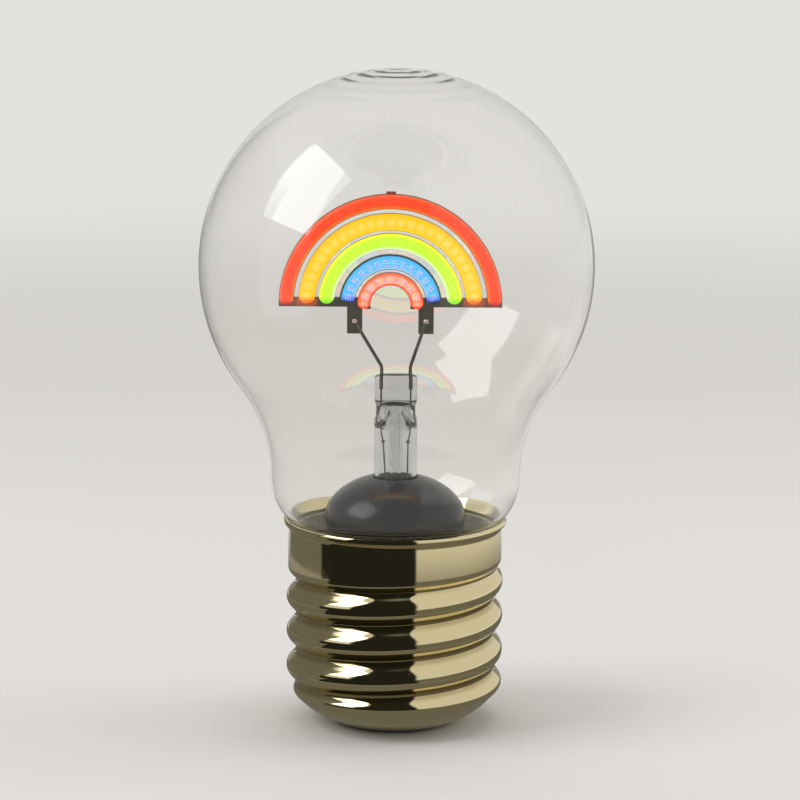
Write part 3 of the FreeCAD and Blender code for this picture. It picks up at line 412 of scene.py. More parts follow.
def add_node(tree, kind, inputs=(), **attributes):
    """Adds a shader node with its settings. Its inputs come by name, or as a tuple in the order of
    those in use. An input takes a value, a socket, or a node, whose first output in use is linked."""
    node = tree.nodes.new("ShaderNode" + kind)
    for key, value in attributes.items():
        setattr(node, key, value)
    sockets = [socket for socket in node.inputs if socket.enabled]
    if isinstance(inputs, dict):
        sockets = [next(socket for socket in sockets if socket.name == name) for name in inputs]
        inputs = inputs.values()
    for socket, value in zip(sockets, inputs):
        if isinstance(value, bpy.types.Node):
            value = next(out for out in value.outputs if out.enabled)
        if isinstance(value, bpy.types.NodeSocket):
            tree.links.new(value, socket)
        else:
            socket.default_value = value
    return node


def per(millimetres):
    """Pattern scale, in repeats per metre, of something this many millimetres across."""
    return 1.0 / (millimetres * MM)


def empty_nodes(owner):
    """Empties the nodes of a material or world, and gives the function that adds nodes to it."""
    owner.use_nodes = True
    owner.node_tree.nodes.clear()
    return partial(add_node, owner.node_tree)


def new_material(name):
    """An empty node material, the function that adds nodes to it, and its Object coordinates."""
    material = bpy.data.materials.new(name)
    node = empty_nodes(material)
    return material, node, node("TexCoord").outputs["Object"]


# Settings and inputs that many nodes share: a mix of colours, a soft step, a step that falls, the
# range that most of a noise lies in, the factors that leave out a point's height, and black for what
# gives no light.
RGBA = {"data_type": "RGBA"}
SOFT = {"interpolation_type": "SMOOTHSTEP"}
FALLING = {"To Min": 1.0, "To Max": 0.0}
NOISE_RANGE = {"From Min": 0.3, "From Max": 0.7}
LEVEL = (1.0, 1.0, 0.0)
UNLIT = srgb("#000000")


def clouded(node, pattern, light, dark, smooth, rough):
    """Colour and roughness that go from the first value to the second with a noise."""
    share = node("MapRange", {"Value": pattern, **NOISE_RANGE})
    tint = node("Mix", (share, light, dark), **RGBA)
    return tint, node("MapRange", {"Value": pattern, **NOISE_RANGE, "To Min": smooth, "To Max": rough})


def from_rings(node, point):
    """A point's place measured from the centre of the rainbow's rings."""
    rainbow = settings("rainbow")
    return node("VectorMath", (point, (rainbow.offset, 0.0, rainbow.centre)), operation="SUBTRACT")


def seen_rays(node):
    """1 on the rays that show a surface: from the camera, off a mirror and through glass."""
    path = node("LightPath").outputs
    seen = node("Math", (path["Is Camera Ray"], path["Is Glossy Ray"]), operation="MAXIMUM")
    return node("Math", (seen, path["Is Transmission Ray"]), operation="MAXIMUM")


def blown_glass():
    """Soda-lime glass, blown: clear, with the slow waves that blowing leaves in its reflections."""
    material, node, point = new_material("soda_lime_glass_blown")
    wave = node("TexNoise", {"Vector": point, "Scale": per(26.0), "Detail": 1.0})
    relief = node("Bump", {"Height": wave, "Distance": 0.12 * MM, "Strength": 0.25})
    glass = node("BsdfPrincipled", {
        "Base Color": srgb("#FCFCFA"), "Roughness": 0.0, "IOR": 1.46, "Transmission Weight": 1.0,
        "Normal": relief})
    node("OutputMaterial", {"Surface": glass})
    return material


def drawn_glass(name, depth):
    """Glass tube, drawn and pressed hot: grey where it is thick, with long draw lines up the tube.
    The depth is how many millimetres it takes to darken what is behind it."""
    material, node, point = new_material(name)
    drawn = node("Mapping", {"Vector": point, "Scale": (1.0, 1.0, 0.08)})
    lines = node("TexNoise", {"Vector": drawn, "Scale": per(2.4), "Detail": 0.0})
    relief = node("Bump", {"Height": lines, "Distance": 0.01 * MM, "Strength": 0.25})
    glass = node("BsdfPrincipled", {
        "Base Color": srgb("#FAFBFB"), "Roughness": 0.0, "IOR": 1.52, "Transmission Weight": 1.0,
        "Normal": relief})
    grey = node("VolumeAbsorption", {"Color": srgb("#3C4A50"), "Density": per(depth)})
    node("OutputMaterial", {"Surface": glass, "Volume": grey})
    return material


def spun_brass():
    """Brass sheet, spun, rolled and polished: a mirror with sharp reflections, browner low in the
    thread where the mop doesn't reach, with fine turning lines, upright wipe marks on the collar
    and a few dust specks."""
    finish, shell = settings("finish"), settings("shell")
    root_low, root_high = shell.mean - 0.5 * shell.depth, shell.mean - 0.1 * shell.depth
    bowl_fade = 3.0 * MM
    material, node, point = new_material("brass_spun_polished")
    height = node("SeparateXYZ", {"Vector": point}).outputs["Z"]
    flat = node("VectorMath", (point, LEVEL), operation="MULTIPLY")
    radius = node("VectorMath", (flat,), operation="LENGTH")
    # Painted shade, with tarnish: the roots of the thread are mixed towards darker, browner brass.
    root = node("MapRange", {"Value": radius, "From Min": root_low, "From Max": root_high, **FALLING}, **SOFT)
    in_thread = node("MapRange", {
        "Value": height, "From Min": shell.bowl_top - bowl_fade, "From Max": shell.bowl_top})
    blotch = node("TexNoise", {"Vector": point, "Scale": per(5.0), "Detail": 5.0})
    patch = node("MapRange", {"Value": blotch, **NOISE_RANGE, "To Min": 0.5, "To Max": 0.7})
    in_root = node("Math", (root, in_thread), operation="MULTIPLY")
    shade = node("Math", (in_root, patch), operation="MULTIPLY")
    tint = node("Mix", (shade, finish.brass, finish.brass_tarnish_and_shade), **RGBA)
    upright = node("Mapping", {"Vector": point, "Scale": (1.0, 1.0, 0.12)})
    wipe = node("TexNoise", {"Vector": upright, "Scale": per(1.8), "Detail": 4.0})
    on_collar = node("MapRange", {
        "Value": height, "From Min": shell.collar_low, "From Max": shell.collar_low + shell.collar_swell})
    wiped = node("MapRange", {
        "Value": wipe, "From Min": 0.52, "From Max": 0.72, "To Min": 0.0, "To Max": 0.05})
    haze = node("Math", (wiped, on_collar), operation="MULTIPLY")
    scuff = node("TexNoise", {"Vector": point, "Scale": per(1.6), "Detail": 6.0})
    gloss = node("MapRange", {"Value": scuff, **NOISE_RANGE, "To Min": 0.035, "To Max": 0.075})
    rough = node("Math", (gloss, haze), operation="ADD")
    dust = node("TexVoronoi", {"Vector": point, "Scale": per(2.6)})
    speck = node("MapRange", {
        "Value": dust, "From Min": 0.03, "From Max": 0.06, "To Min": 0.3, "To Max": 0.0})
    dulled = node("Math", (rough, speck), operation="ADD")
    # Turning lines of a real 0.05 mm are too fine to show, so they are drawn 0.35 mm apart.
    round_it = node("Mapping", {"Vector": point, "Scale": (0.02, 0.02, 1.0)})
    lines = node("TexNoise", {"Vector": round_it, "Scale": per(0.35), "Detail": 2.0})
    relief = node("Bump", {"Height": lines, "Distance": 0.003 * MM, "Strength": 0.3})
    brass = node("BsdfPrincipled", {
        "Base Color": tint, "Metallic": 1.0, "Roughness": dulled, "Normal": relief})
    node("OutputMaterial", {"Surface": brass})
    return material


def moulded_black():
    """ABS, injection moulded with a fine spark finish: black, satin, with faint flow marks."""
    material, node, point = new_material("abs_moulded_black")
    grain = node("TexNoise", {"Vector": point, "Scale": per(0.5), "Detail": 3.0})
    flow = node("TexNoise", {"Vector": point, "Scale": per(9.0), "Detail": 3.0})
    tint, rough = clouded(node, flow, settings("finish").black, srgb("#0D0E11"), smooth=0.2, rough=0.27)
    relief = node("Bump", {"Height": grain, "Distance": 0.01 * MM, "Strength": 0.35})
    plastic = node("BsdfPrincipled", {"Base Color": tint, "Roughness": rough, "IOR": 1.53, "Normal": relief})
    node("OutputMaterial", {"Surface": plastic})
    return material


def cast_silicone(name):
    """Silicone with phosphor, cast over chips and lit from within: its colour turns from the inner
    edge over the core to the outer edge, darkens at the tips and swells over each chip. The light
    is stronger than a picture can show, so reflections of it are drawn brighter than itself."""
    strip = settings(name)
    half = strip.width / 2
    edge_start, edge_full = 0.45 * half, 0.95 * half
    tip_full, tip_end = 0.1 * half, 1.1 * half
    pitch = math.pi * strip.middle / strip.chips
    spot_full, spot_end, spot_share = 0.15 * pitch, 0.55 * pitch, 0.95
    glow, mirrored_glow, darkened = 1.06, 3.5, 0.9
    material, node, point = new_material("silicone_cast_" + name)
    place = from_rings(node, point)
    axes = node("SeparateXYZ", {"Vector": place}).outputs
    flat = node("VectorMath", (place, (1.0, 0.0, 1.0)), operation="MULTIPLY")
    radius = node("VectorMath", (flat,), operation="LENGTH")
    inside = node("MapRange", {
        "Value": radius, "From Min": strip.middle - edge_full, "From Max": strip.middle - edge_start,
        **FALLING}, **SOFT)
    outside = node("MapRange", {
        "Value": radius, "From Min": strip.middle + edge_start, "From Max": strip.middle + edge_full}, **SOFT)
    at_tip = node("MapRange", {
        "Value": axes["Z"], "From Min": strip.end + tip_full, "From Max": strip.end + tip_end,
        **FALLING}, **SOFT)
    turned = node("Math", (axes["Z"], axes["X"]), operation="ARCTAN2")
    from_chip = node("Math", (turned, math.pi / (2 * strip.chips)), operation="PINGPONG")
    along = node("Math", (from_chip, strip.middle), operation="MULTIPLY")
    across = node("Math", (radius, strip.middle), operation="SUBTRACT")
    off_chip = node("CombineXYZ", {"X": along, "Y": across})
    far = node("VectorMath", (off_chip,), operation="LENGTH")
    over_chip = node("MapRange", {
        "Value": far, "From Min": spot_full, "From Max": spot_end,
        "To Min": spot_share, "To Max": 0.0}, **SOFT)
    light = strip.core
    tones = ((inside, strip.inner), (outside, strip.outer), (over_chip, strip.spot), (at_tip, strip.tip))
    for share, tone in tones:
        light = node("Mix", (share, light, tone), **RGBA)
    path = node("LightPath").outputs
    mirrored = node("Math", (path["Is Glossy Ray"], path["Is Reflection Ray"]), operation="MULTIPLY")
    gain = node("Math", (mirrored, mirrored_glow, glow), operation="MULTIPLY_ADD")
    light = node("VectorMath", (light, gain), operation="SCALE")
    cloud = node("TexNoise", {"Vector": point, "Scale": per(2.5), "Detail": 2.0})
    body = node("Mix", (cloud, strip.core, strip.outer), **RGBA)
    body = node("Mix", (darkened, body, UNLIT), **RGBA)
    rough = node("MapRange", {"Value": cloud, **NOISE_RANGE, "To Min": 0.2, "To Max": 0.32})
    silicone = node("BsdfPrincipled", {
        "Base Color": body, "Roughness": rough, "IOR": 1.41, "Specular IOR Level": 0.25,
        "Emission Color": light, "Emission Strength": 1.0})
    node("OutputMaterial", {"Surface": silicone})
    return material


def solder_mask():
    """Fibreglass board under dark solder mask: satin, with the weave faint beneath it, and with
    light from the red and amber strips on the bar round their feet and on the nub at the top."""
    amber, red = settings("amber"), settings("red")
    bar = 1.0 * MM
    # Distances from the middle of a strip in its widths.
    lit, unlit, nub = 0.45, 0.85, 0.6
    material, node, point = new_material("solder_mask_dark")
    weave = node("TexNoise", {"Vector": point, "Scale": per(0.6), "Detail": 2.0})
    patch = node("TexNoise", {"Vector": point, "Scale": per(4.0), "Detail": 3.0})
    share = node("MapRange", {"Value": patch, **NOISE_RANGE, "To Min": 0.0, "To Max": 0.6})
    tint = node("Mix", (share, settings("finish").board, srgb("#3A3722")), **RGBA)
    rough = node("MapRange", {"Value": patch, **NOISE_RANGE, "To Min": 0.3, "To Max": 0.42})
    relief = node("Bump", {"Height": weave, "Distance": 0.01 * MM, "Strength": 0.5})
    axes = node("SeparateXYZ", {"Vector": from_rings(node, point)}).outputs
    aside = node("Math", (axes["X"],), operation="ABSOLUTE")
    # Painted light: the glow of the amber and red strips, in their tip colours, on the bar beside them.
    painted_spill = UNLIT
    for strip in (amber, red):
        apart = node("Math", (aside, strip.middle), operation="SUBTRACT")
        apart = node("Math", (apart,), operation="ABSOLUTE")
        near = node("MapRange", {
            "Value": apart, "From Min": lit * strip.width, "From Max": unlit * strip.width,
            **FALLING}, **SOFT)
        painted_spill = node("Mix", (near, painted_spill, strip.tip), **RGBA)
    on_bar = node("MapRange", {
        "Value": axes["Z"], "From Min": -bar, "From Max": bar, "To Min": 0.25, "To Max": 1.0})
    under = node("MapRange", {"Value": axes["Z"], "From Min": bar, "From Max": 2 * bar, **FALLING})
    share = node("Math", (on_bar, under), operation="MULTIPLY")
    painted_spill = node("Mix", (share, UNLIT, painted_spill), **RGBA)
    # Painted light: the red strip's glow on the nub at the top.
    on_nub = node("MapRange", {
        "Value": axes["Z"], "From Min": red.middle + lit * red.width,
        "From Max": red.middle + nub * red.width})
    painted_spill = node("Mix", (on_nub, painted_spill, red.tip), **RGBA)
    mask = node("BsdfPrincipled", {
        "Base Color": tint, "Roughness": rough, "IOR": 1.5, "Normal": relief,
        "Emission Color": painted_spill, "Emission Strength": 0.45})
    node("OutputMaterial", {"Surface": mask})
    return material


def drawn_metal(name, light, dark, roughness, millimetres, stretch=1.0):
    """Metal as it leaves the die or the plating bath: streaked or clouded, with soft gloss. The
    stretch is below 1 where the streaks run upright."""
    material, node, point = new_material(name)
    along = node("Mapping", {"Vector": point, "Scale": (1.0, 1.0, stretch)})
    streak = node("TexNoise", {"Vector": along, "Scale": per(millimetres), "Detail": 4.0})
    tint, rough = clouded(node, streak, light, dark, smooth=roughness * 0.8, rough=roughness * 1.3)
    metal = node("BsdfPrincipled", {"Base Color": tint, "Metallic": 1.0, "Roughness": rough})
    node("OutputMaterial", {"Surface": metal})
    return material


def plain_polymer(name, light, dark, roughness, millimetres):
    """Rubber, film, enamel or cement: two close tones, with a fine grain in the gloss."""
    material, node, point = new_material(name)
    cloud = node("TexNoise", {"Vector": point, "Scale": per(millimetres), "Detail": 4.0})
    grain = node("TexNoise", {"Vector": point, "Scale": per(millimetres / 6), "Detail": 2.0})
    tint, rough = clouded(node, cloud, light, dark, smooth=roughness * 0.85, rough=roughness * 1.15)
    relief = node("Bump", {"Height": grain, "Distance": 0.015 * MM, "Strength": 0.4})
    polymer = node("BsdfPrincipled", {"Base Color": tint, "Roughness": rough, "Normal": relief})
    node("OutputMaterial", {"Surface": polymer})
    return material


def lit_chip(name, light, bright):
    """Bare chip that is lit: a small spot of light, hotter in patches where the current crowds."""
    material, node, point = new_material(name)
    grain = node("TexNoise", {"Vector": point, "Scale": per(0.5), "Detail": 2.0})
    share = node("MapRange", {"Value": grain, "From Min": 0.4, "From Max": 0.6})
    glow = node("Mix", (share, srgb(light), srgb(bright)), **RGBA)
    chip = node("BsdfPrincipled", {
        "Base Color": srgb("#202020"), "Roughness": 0.3, "Emission Color": glow, "Emission Strength": 1.0})
    node("OutputMaterial", {"Surface": chip})
    return material


def bulb_profile(inset, crowned):
    """Bulb outline (r, z) from the top down: a sphere, a hollow neck whose arc touches both,
    a shoulder, a fillet and the straight tail, each arc moved in by the inset. The inner
    surface dips at the top by crown * exp(-(r/width)^2), with faint rings."""
    g = settings("glass")
    rise = g.centre - g.neck_height
    waist = (rise ** 2 - g.radius ** 2 + g.neck_radius ** 2) / (2 * (g.radius - g.neck_radius))
    reach = g.shoulder + g.tail_fillet
    sideways = reach - (g.neck_radius - g.tail_radius)
    drop = math.sqrt(reach ** 2 - sideways ** 2)
    fillet_height = g.neck_height - drop
    cheek = math.atan2(-rise, g.neck_radius + waist)
    bend = math.atan2(-drop, sideways)
    # The rows are closer out to twice the reach of the thick glass, for its rings.
    edge = math.acos(2 * g.crown_width / g.radius)
    middle, radius = (0.0, g.centre), g.radius - inset
    ball = chain(arc(middle, radius, QUARTER, edge, 80), arc(middle, radius, edge, cheek, 90))
    ball[0, 0] = 0.0
    if crowned:
        r = ball[:, 0]
        rings = 1 + g.crown_rings * np.cos(TURN * r / g.crown_ripple)
        ball[:, 1] -= g.crown * np.exp(-(r / g.crown_width) ** 2) * rings * (ball[:, 1] > g.centre)
    hollow = arc((g.neck_radius + waist, g.neck_height), waist + inset, math.pi + cheek, math.pi, 44)
    shoulder = arc((g.neck_radius - g.shoulder, g.neck_height), g.shoulder - inset, 0.0, bend, 22)
    fillet_centre = (g.tail_radius + g.tail_fillet, fillet_height)
    fillet = arc(fillet_centre, g.tail_fillet + inset, math.pi + bend, math.pi, 12)
    tail = legs((g.tail_radius - inset, fillet_height), ((g.tail_radius - inset, g.tail_end), 4))
    return chain(ball, hollow, shoulder, fillet, tail)


def bowl_depth():
    """Depth of the whole superellipsoid of which the bowl is the part above the foot."""
    s = settings("shell")
    return (s.bowl_top - s.bottom) / (1 - (s.foot / s.mean) ** s.fullness) ** (1 / s.fullness)


def bowl_heights(low, steps):
    """Heights from a low level to the bowl's top, at even steps of angle round its curve."""
    s = settings("shell")
    start = math.asin((s.bowl_top - low) / bowl_depth())
    return s.bowl_top - bowl_depth() * np.sin(np.linspace(start, 0.0, steps))


def collar_start():
    """Height over which the swell into the collar has ended all the way round."""
    s = settings("shell")
    return s.collar_low + s.collar_swell / 2 + s.collar_lead


def thread_grid(heights, inset):
    """Rows of the bowl, the rolled thread and the swell into the collar. The thread's radius is
    t = mean(z) + depth/2 * run_in * (cos p + q (1 - cos 2p)/2) with p = 2 pi (z - z0)/pitch - a,
    and its mean is a superellipse below the bowl's top. The row is t + (collar - t) * swell less
    the inset, and the swell's middle height rises and falls with cos a."""
    s = settings("shell")
    a = around(SHELL_COLUMNS)
    z = heights[:, None]
    phase = TURN * (z - s.bowl_top) / s.pitch - a
    wave = np.cos(phase) + s.crest * (1 - np.cos(2 * phase)) / 2
    run_in = smooth_step((z - s.bowl_top) / s.run_in + s.start)
    below = np.clip((s.bowl_top - z) / bowl_depth(), 0.0, 1.0)
    mean = s.mean * (1 - below ** s.fullness) ** (1 / s.fullness)
    thread = mean + s.depth / 2 * run_in * wave
    swell = smooth_step((z - s.collar_low - s.collar_lead * np.cos(a)) / s.collar_swell + 0.5)
    return polar(thread + (s.collar_radius - thread) * swell - inset, a, z)


def collar_profile():
    """Collar (r, z) from its lower edge up the outside, over the lip and down the inside: a straight
    wall, a flare r = collar + (lip - collar) t^power, a bead that is an arc, and the tapered mouth."""
    s = settings("shell")
    lip = s.lip_bore + s.lip_edge
    flare_low = s.lip_top - s.bead - s.flare
    t = np.linspace(0.0, 1.0, 16)
    flare_radius = s.collar_radius + (lip - s.collar_radius) * t ** s.flare_power
    flare = np.column_stack([flare_radius, flare_low + s.flare * t])
    bulge = s.bead_bulge * s.bead
    bead_radius = (s.bead ** 2 / 4 + bulge ** 2) / (2 * bulge)
    half_turn = math.asin(s.bead / 2 / bead_radius)
    bead = arc((lip + bulge - bead_radius, s.lip_top - s.bead / 2), bead_radius, -half_turn, half_turn, 14)
    bore = s.collar_radius - s.wall
    wall = legs((s.collar_radius, collar_start()), (flare[0], 14))
    mouth = legs(bead[-1], ((s.lip_bore, s.lip_top), 4), ((bore, flare_low), 8), ((bore, s.step), 8))
    return chain(wall, flare, bead, mouth)


def stem_rows():
    """Rows of the stem from its hollow's top, down inside, and up outside to the pinch: each
    outer row is a superellipse (a cos^(2/n), b sin^(2/n)) that goes from a circle to a slab, with
    a waist between them, the press's lines across the slab, and a rounded, dipped top."""
    s = settings("stem")
    rounding, drawn_in, nearly_all = 0.9 * MM, 0.22, 0.9999
    ridge, ridge_length, ridge_start = 0.012, 0.33 * MM, 1.0 * MM
    waist_share, squareness = 0.08, 1.6
    lid_edge, lid_dip = 0.9, 0.35 * MM
    taper = s.seat + s.tube
    pinch = taper + s.taper
    top = pinch + s.pinch
    a = around(STEM_COLUMNS)
    z = np.concatenate([
        np.linspace(s.seat, taper, 12)[:-1], np.linspace(taper, pinch, 26)[:-1],
        pinch + s.pinch * np.sin(np.linspace(0.0, QUARTER, 26))])[:, None]
    share = smooth_step((z - taper) / s.taper)
    edge = np.clip((z - top) / rounding + 1, 0.0, 1.0)
    crown = 1 - drawn_in * (1 - np.sqrt(1 - np.minimum(edge, nearly_all) ** 2))
    lines = 1 + ridge * np.sin((z - pinch) / ridge_length) * smooth_step((z - pinch) / ridge_start)
    waist = waist_share * s.radius * np.sin(math.pi * share)
    half_width = crown * lines * (s.radius + (s.pinch_width / 2 - s.radius) * share - waist)
    half_thickness = crown * lines * (s.radius + (s.pinch_thickness / 2 - s.radius) * share)
    power = 2 / (2 + squareness * share)
    x = np.sign(np.cos(a)) * np.abs(np.cos(a)) ** power * half_width
    y = np.sign(np.sin(a)) * np.abs(np.sin(a)) ** power * half_thickness
    outer = np.stack([x, y, np.broadcast_to(z, x.shape)], axis=-1)
    share = np.linspace(lid_edge, 0.0, 8)[:, None, None]
    lid = outer[-1] * np.array(LEVEL) * share + np.array([0.0, 0.0, top])
    lid[..., 2] -= lid_dip * (1 - share[..., 0] ** 2)
    bore, roof = s.radius - s.wall, taper + s.fuse
    inner = legs((0.0, roof), ((s.exhaust, roof), 4), ((bore, taper - s.fuse), 8), ((bore, s.seat), 8))
    return np.concatenate([revolve(inner, STEM_COLUMNS), outer, lid])


def dome_profile():
    """Closed outline (r, z) of the cover: flange, skirt, the ellipse of the dome with a rolled
    edge at the stem's hole, the socket, and the inside."""
    s = settings("stem")
    low = settings("shell").step
    play, lip, rounding = 0.15 * MM, 0.45 * MM, 0.8 * MM
    boss_wall, ledge_width, ledge_height = 1.4 * MM, 1.2 * MM, 1.2 * MM
    flange_top = low + s.flange_height
    hole = s.radius + play
    ledge, boss = hole - ledge_width, hole + boss_wall
    under = s.seat - ledge_height
    middle = (0.0, s.dome_centre)
    outer = arc(middle, s.dome_radius, 0.0, math.acos((hole + lip) / s.dome_radius), 48, s.dome_rise)
    roll = arc((hole + lip, outer[-1, 1] - lip), lip, QUARTER, math.pi, 8)
    inner_radius = s.dome_radius - s.dome_wall
    inside = arc(middle, inner_radius, math.acos(boss / inner_radius), 0.0, 16, s.dome_rise - s.dome_wall)
    fillet_centre = (s.dome_bore + s.dome_wall + rounding, flange_top + rounding)
    fillet = arc(fillet_centre, rounding, 3 * QUARTER, math.pi, 7)
    flange = legs(
        (s.dome_bore, low), ((s.dome_flange, low), 6), ((s.dome_flange, flange_top), 3), (fillet[0], 6))
    socket = legs(
        roll[-1], ((hole, s.seat), 5), ((ledge, s.seat), 3), ((ledge, under), 3), ((boss, under), 3),
        (inside[0], 3))
    skirt = legs(fillet[-1], (outer[0], 8))
    bore = legs(inside[-1], ((s.dome_bore, low), 6))
    return chain(flange, fillet, skirt, outer, roll, socket, inside, bore[:-1])


def bead_height(offset, half):
    """Height of a strip over the board at a distance from its middle: an arc of a circle."""
    rise = settings("rainbow").rise
    radius = (half ** 2 + rise ** 2) / (2 * rise)
    return np.sqrt(radius ** 2 - offset ** 2) - (radius - rise)


def on_ring(radius, angle, lengthwise, y):
    """Points beside the rings' centre: out by a radius at an angle, then along the ring's tangent."""
    rainbow = settings("rainbow")
    x = rainbow.offset + radius * np.cos(angle) - lengthwise * np.sin(angle)
    z = rainbow.centre + radius * np.sin(angle) + lengthwise * np.cos(angle)
    return np.stack([x, np.broadcast_to(y, x.shape), z], axis=-1)


def strip_grid(strip, cap, face, side):
    """One light strip: a low round bead whose height is an arc over the distance d from the half
    circle of the strip's middle, carried round the outline: out along the outer side, round one
    end, back along the inner side and round the other. Cap is the length of the rounded ends as a
    share of half the width."""
    half = strip.width / 2
    start = math.asin((strip.end + cap * half) / strip.middle)
    along = np.linspace(start, math.pi - start, 121)
    turn = np.linspace(0.0, math.pi, 25)[1:-1]
    one, none = np.ones_like(along), np.zeros_like(along)
    angle = np.concatenate([
        along, np.full_like(turn, math.pi - start), along[::-1], np.full_like(turn, start)])
    radial = np.concatenate([one, np.cos(turn), -one, -np.cos(turn)])
    lengthwise = np.concatenate([none, cap * np.sin(turn), none, -cap * np.sin(turn)])
    over = half * np.sin(np.linspace(0.0, QUARTER, 9))
    base = np.linspace(half, 0.0, 4)[1:]
    d = np.concatenate([over, base])[:, None]
    y = face + side * np.concatenate([bead_height(over, half), np.zeros_like(base)])[:, None]
    return on_ring(strip.middle + d * radial, angle, d * lengthwise, y)


def mark_grids(strokes, strip, first, face, side):
    """Raised strokes over each chip of a strip. A stroke runs between two (radial, lengthwise)
    points about the chip's middle with a width; it is a flat bar that follows the bead, closed at
    both ends by rows drawn together to a point."""
    angles = np.linspace(first, math.pi - first, strip.chips)[:, None, None]
    # Rows along a bar and how wide each is, then the four corners across it and their heights.
    share = np.array([0.0, 0.0, 0.33, 0.67, 1.0, 1.0])[:, None]
    spread = np.array([0.0, 1.0, 1.0, 1.0, 1.0, 0.0])[:, None]
    across = np.array([-1.0, -1.0, 1.0, 1.0])
    lift = np.array([-0.02, 0.03, 0.03, -0.02]) * MM
    grids = []
    for (r0, t0), (r1, t1), width in strokes:
        line = np.array([r1 - r0, t1 - t0]) / math.hypot(r1 - r0, t1 - t0)
        reach, aside = line * width / 2, np.array([-line[1], line[0]]) * width / 2
        radial = r0 - reach[0] + (r1 - r0 + 2 * reach[0]) * share + spread * across * aside[0]
        lengthwise = t0 - reach[1] + (t1 - t0 + 2 * reach[1]) * share + spread * across * aside[1]
        height = bead_height(radial, strip.width / 2) + spread * lift
        bars = on_ring(strip.middle + radial, angles, lengthwise, face + side * height)
        grids += list(bars)
    return grids


class LAMP_OT_glass(bpy.types.Operator):
    """Blows the bulb: one closed wall of even thickness, thicker at the top"""

    bl_idname = "lamp.glass"
    bl_label = "Bulb glass"

    def execute(self, context):
        outer = bulb_profile(inset=0.0, crowned=False)
        inner = bulb_profile(inset=settings("glass").wall, crowned=True)[::-1]
        rim = legs(outer[-1], (inner[0], 4))
        grid = revolve(chain(outer, rim, inner), BULB_COLUMNS)
        piece = make_piece("bulb_glass", [grid], blown_glass(), ["glass_envelope"])
        # Its shadow would come out far darker than that of real clear glass, so it casts none.
        piece.visible_shadow = False
        return {"FINISHED"}


class LAMP_OT_stem(bpy.types.Operator):
    """Draws the glass stem with its exhaust tube, and finishes the wires"""

    bl_idname = "lamp.stem"
    bl_label = "Stem and wires"

    def execute(self, context):
        s = settings("stem")
        glass = drawn_glass("lead_glass_pressed", depth=9.0)
        clear = drawn_glass("lead_glass_drawn", depth=40.0)
        stem = make_piece("stem_glass", [stem_rows()], glass, ["stem_tube"])
        low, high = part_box("exhaust_tube")
        corners = np.array([
            [s.exhaust_bore, low.z], [s.exhaust, low.z], [s.exhaust, high.z], [s.exhaust_bore, high.z]])
        tube = revolve(corners, TUBE_COLUMNS)
        exhaust = make_piece("exhaust_glass", [tube], clear, ["exhaust_tube"], closed=True)
        stem.visible_shadow = exhaust.visible_shadow = False
        wire = drawn_metal(
            "nickel_iron_wire_drawn", settings("finish").wire, srgb("#45433F"),
            roughness=0.3, millimetres=0.8, stretch=0.15)
        lead = drawn_metal(
            "copper_clad_wire_oxidised", srgb("#6E5144"), srgb("#42332F"), roughness=0.35, millimetres=0.6)
        solder = drawn_metal(
            "tin_solder_frozen", srgb("#C9C8C5"), srgb("#98968F"), roughness=0.24, millimetres=0.5)
        dress(wire, "support_wire_left", "support_wire_right")
        dress(lead, "lead_wire_left", "lead_wire_right")
        dress(solder, "tab_solder")
        return {"FINISHED"}


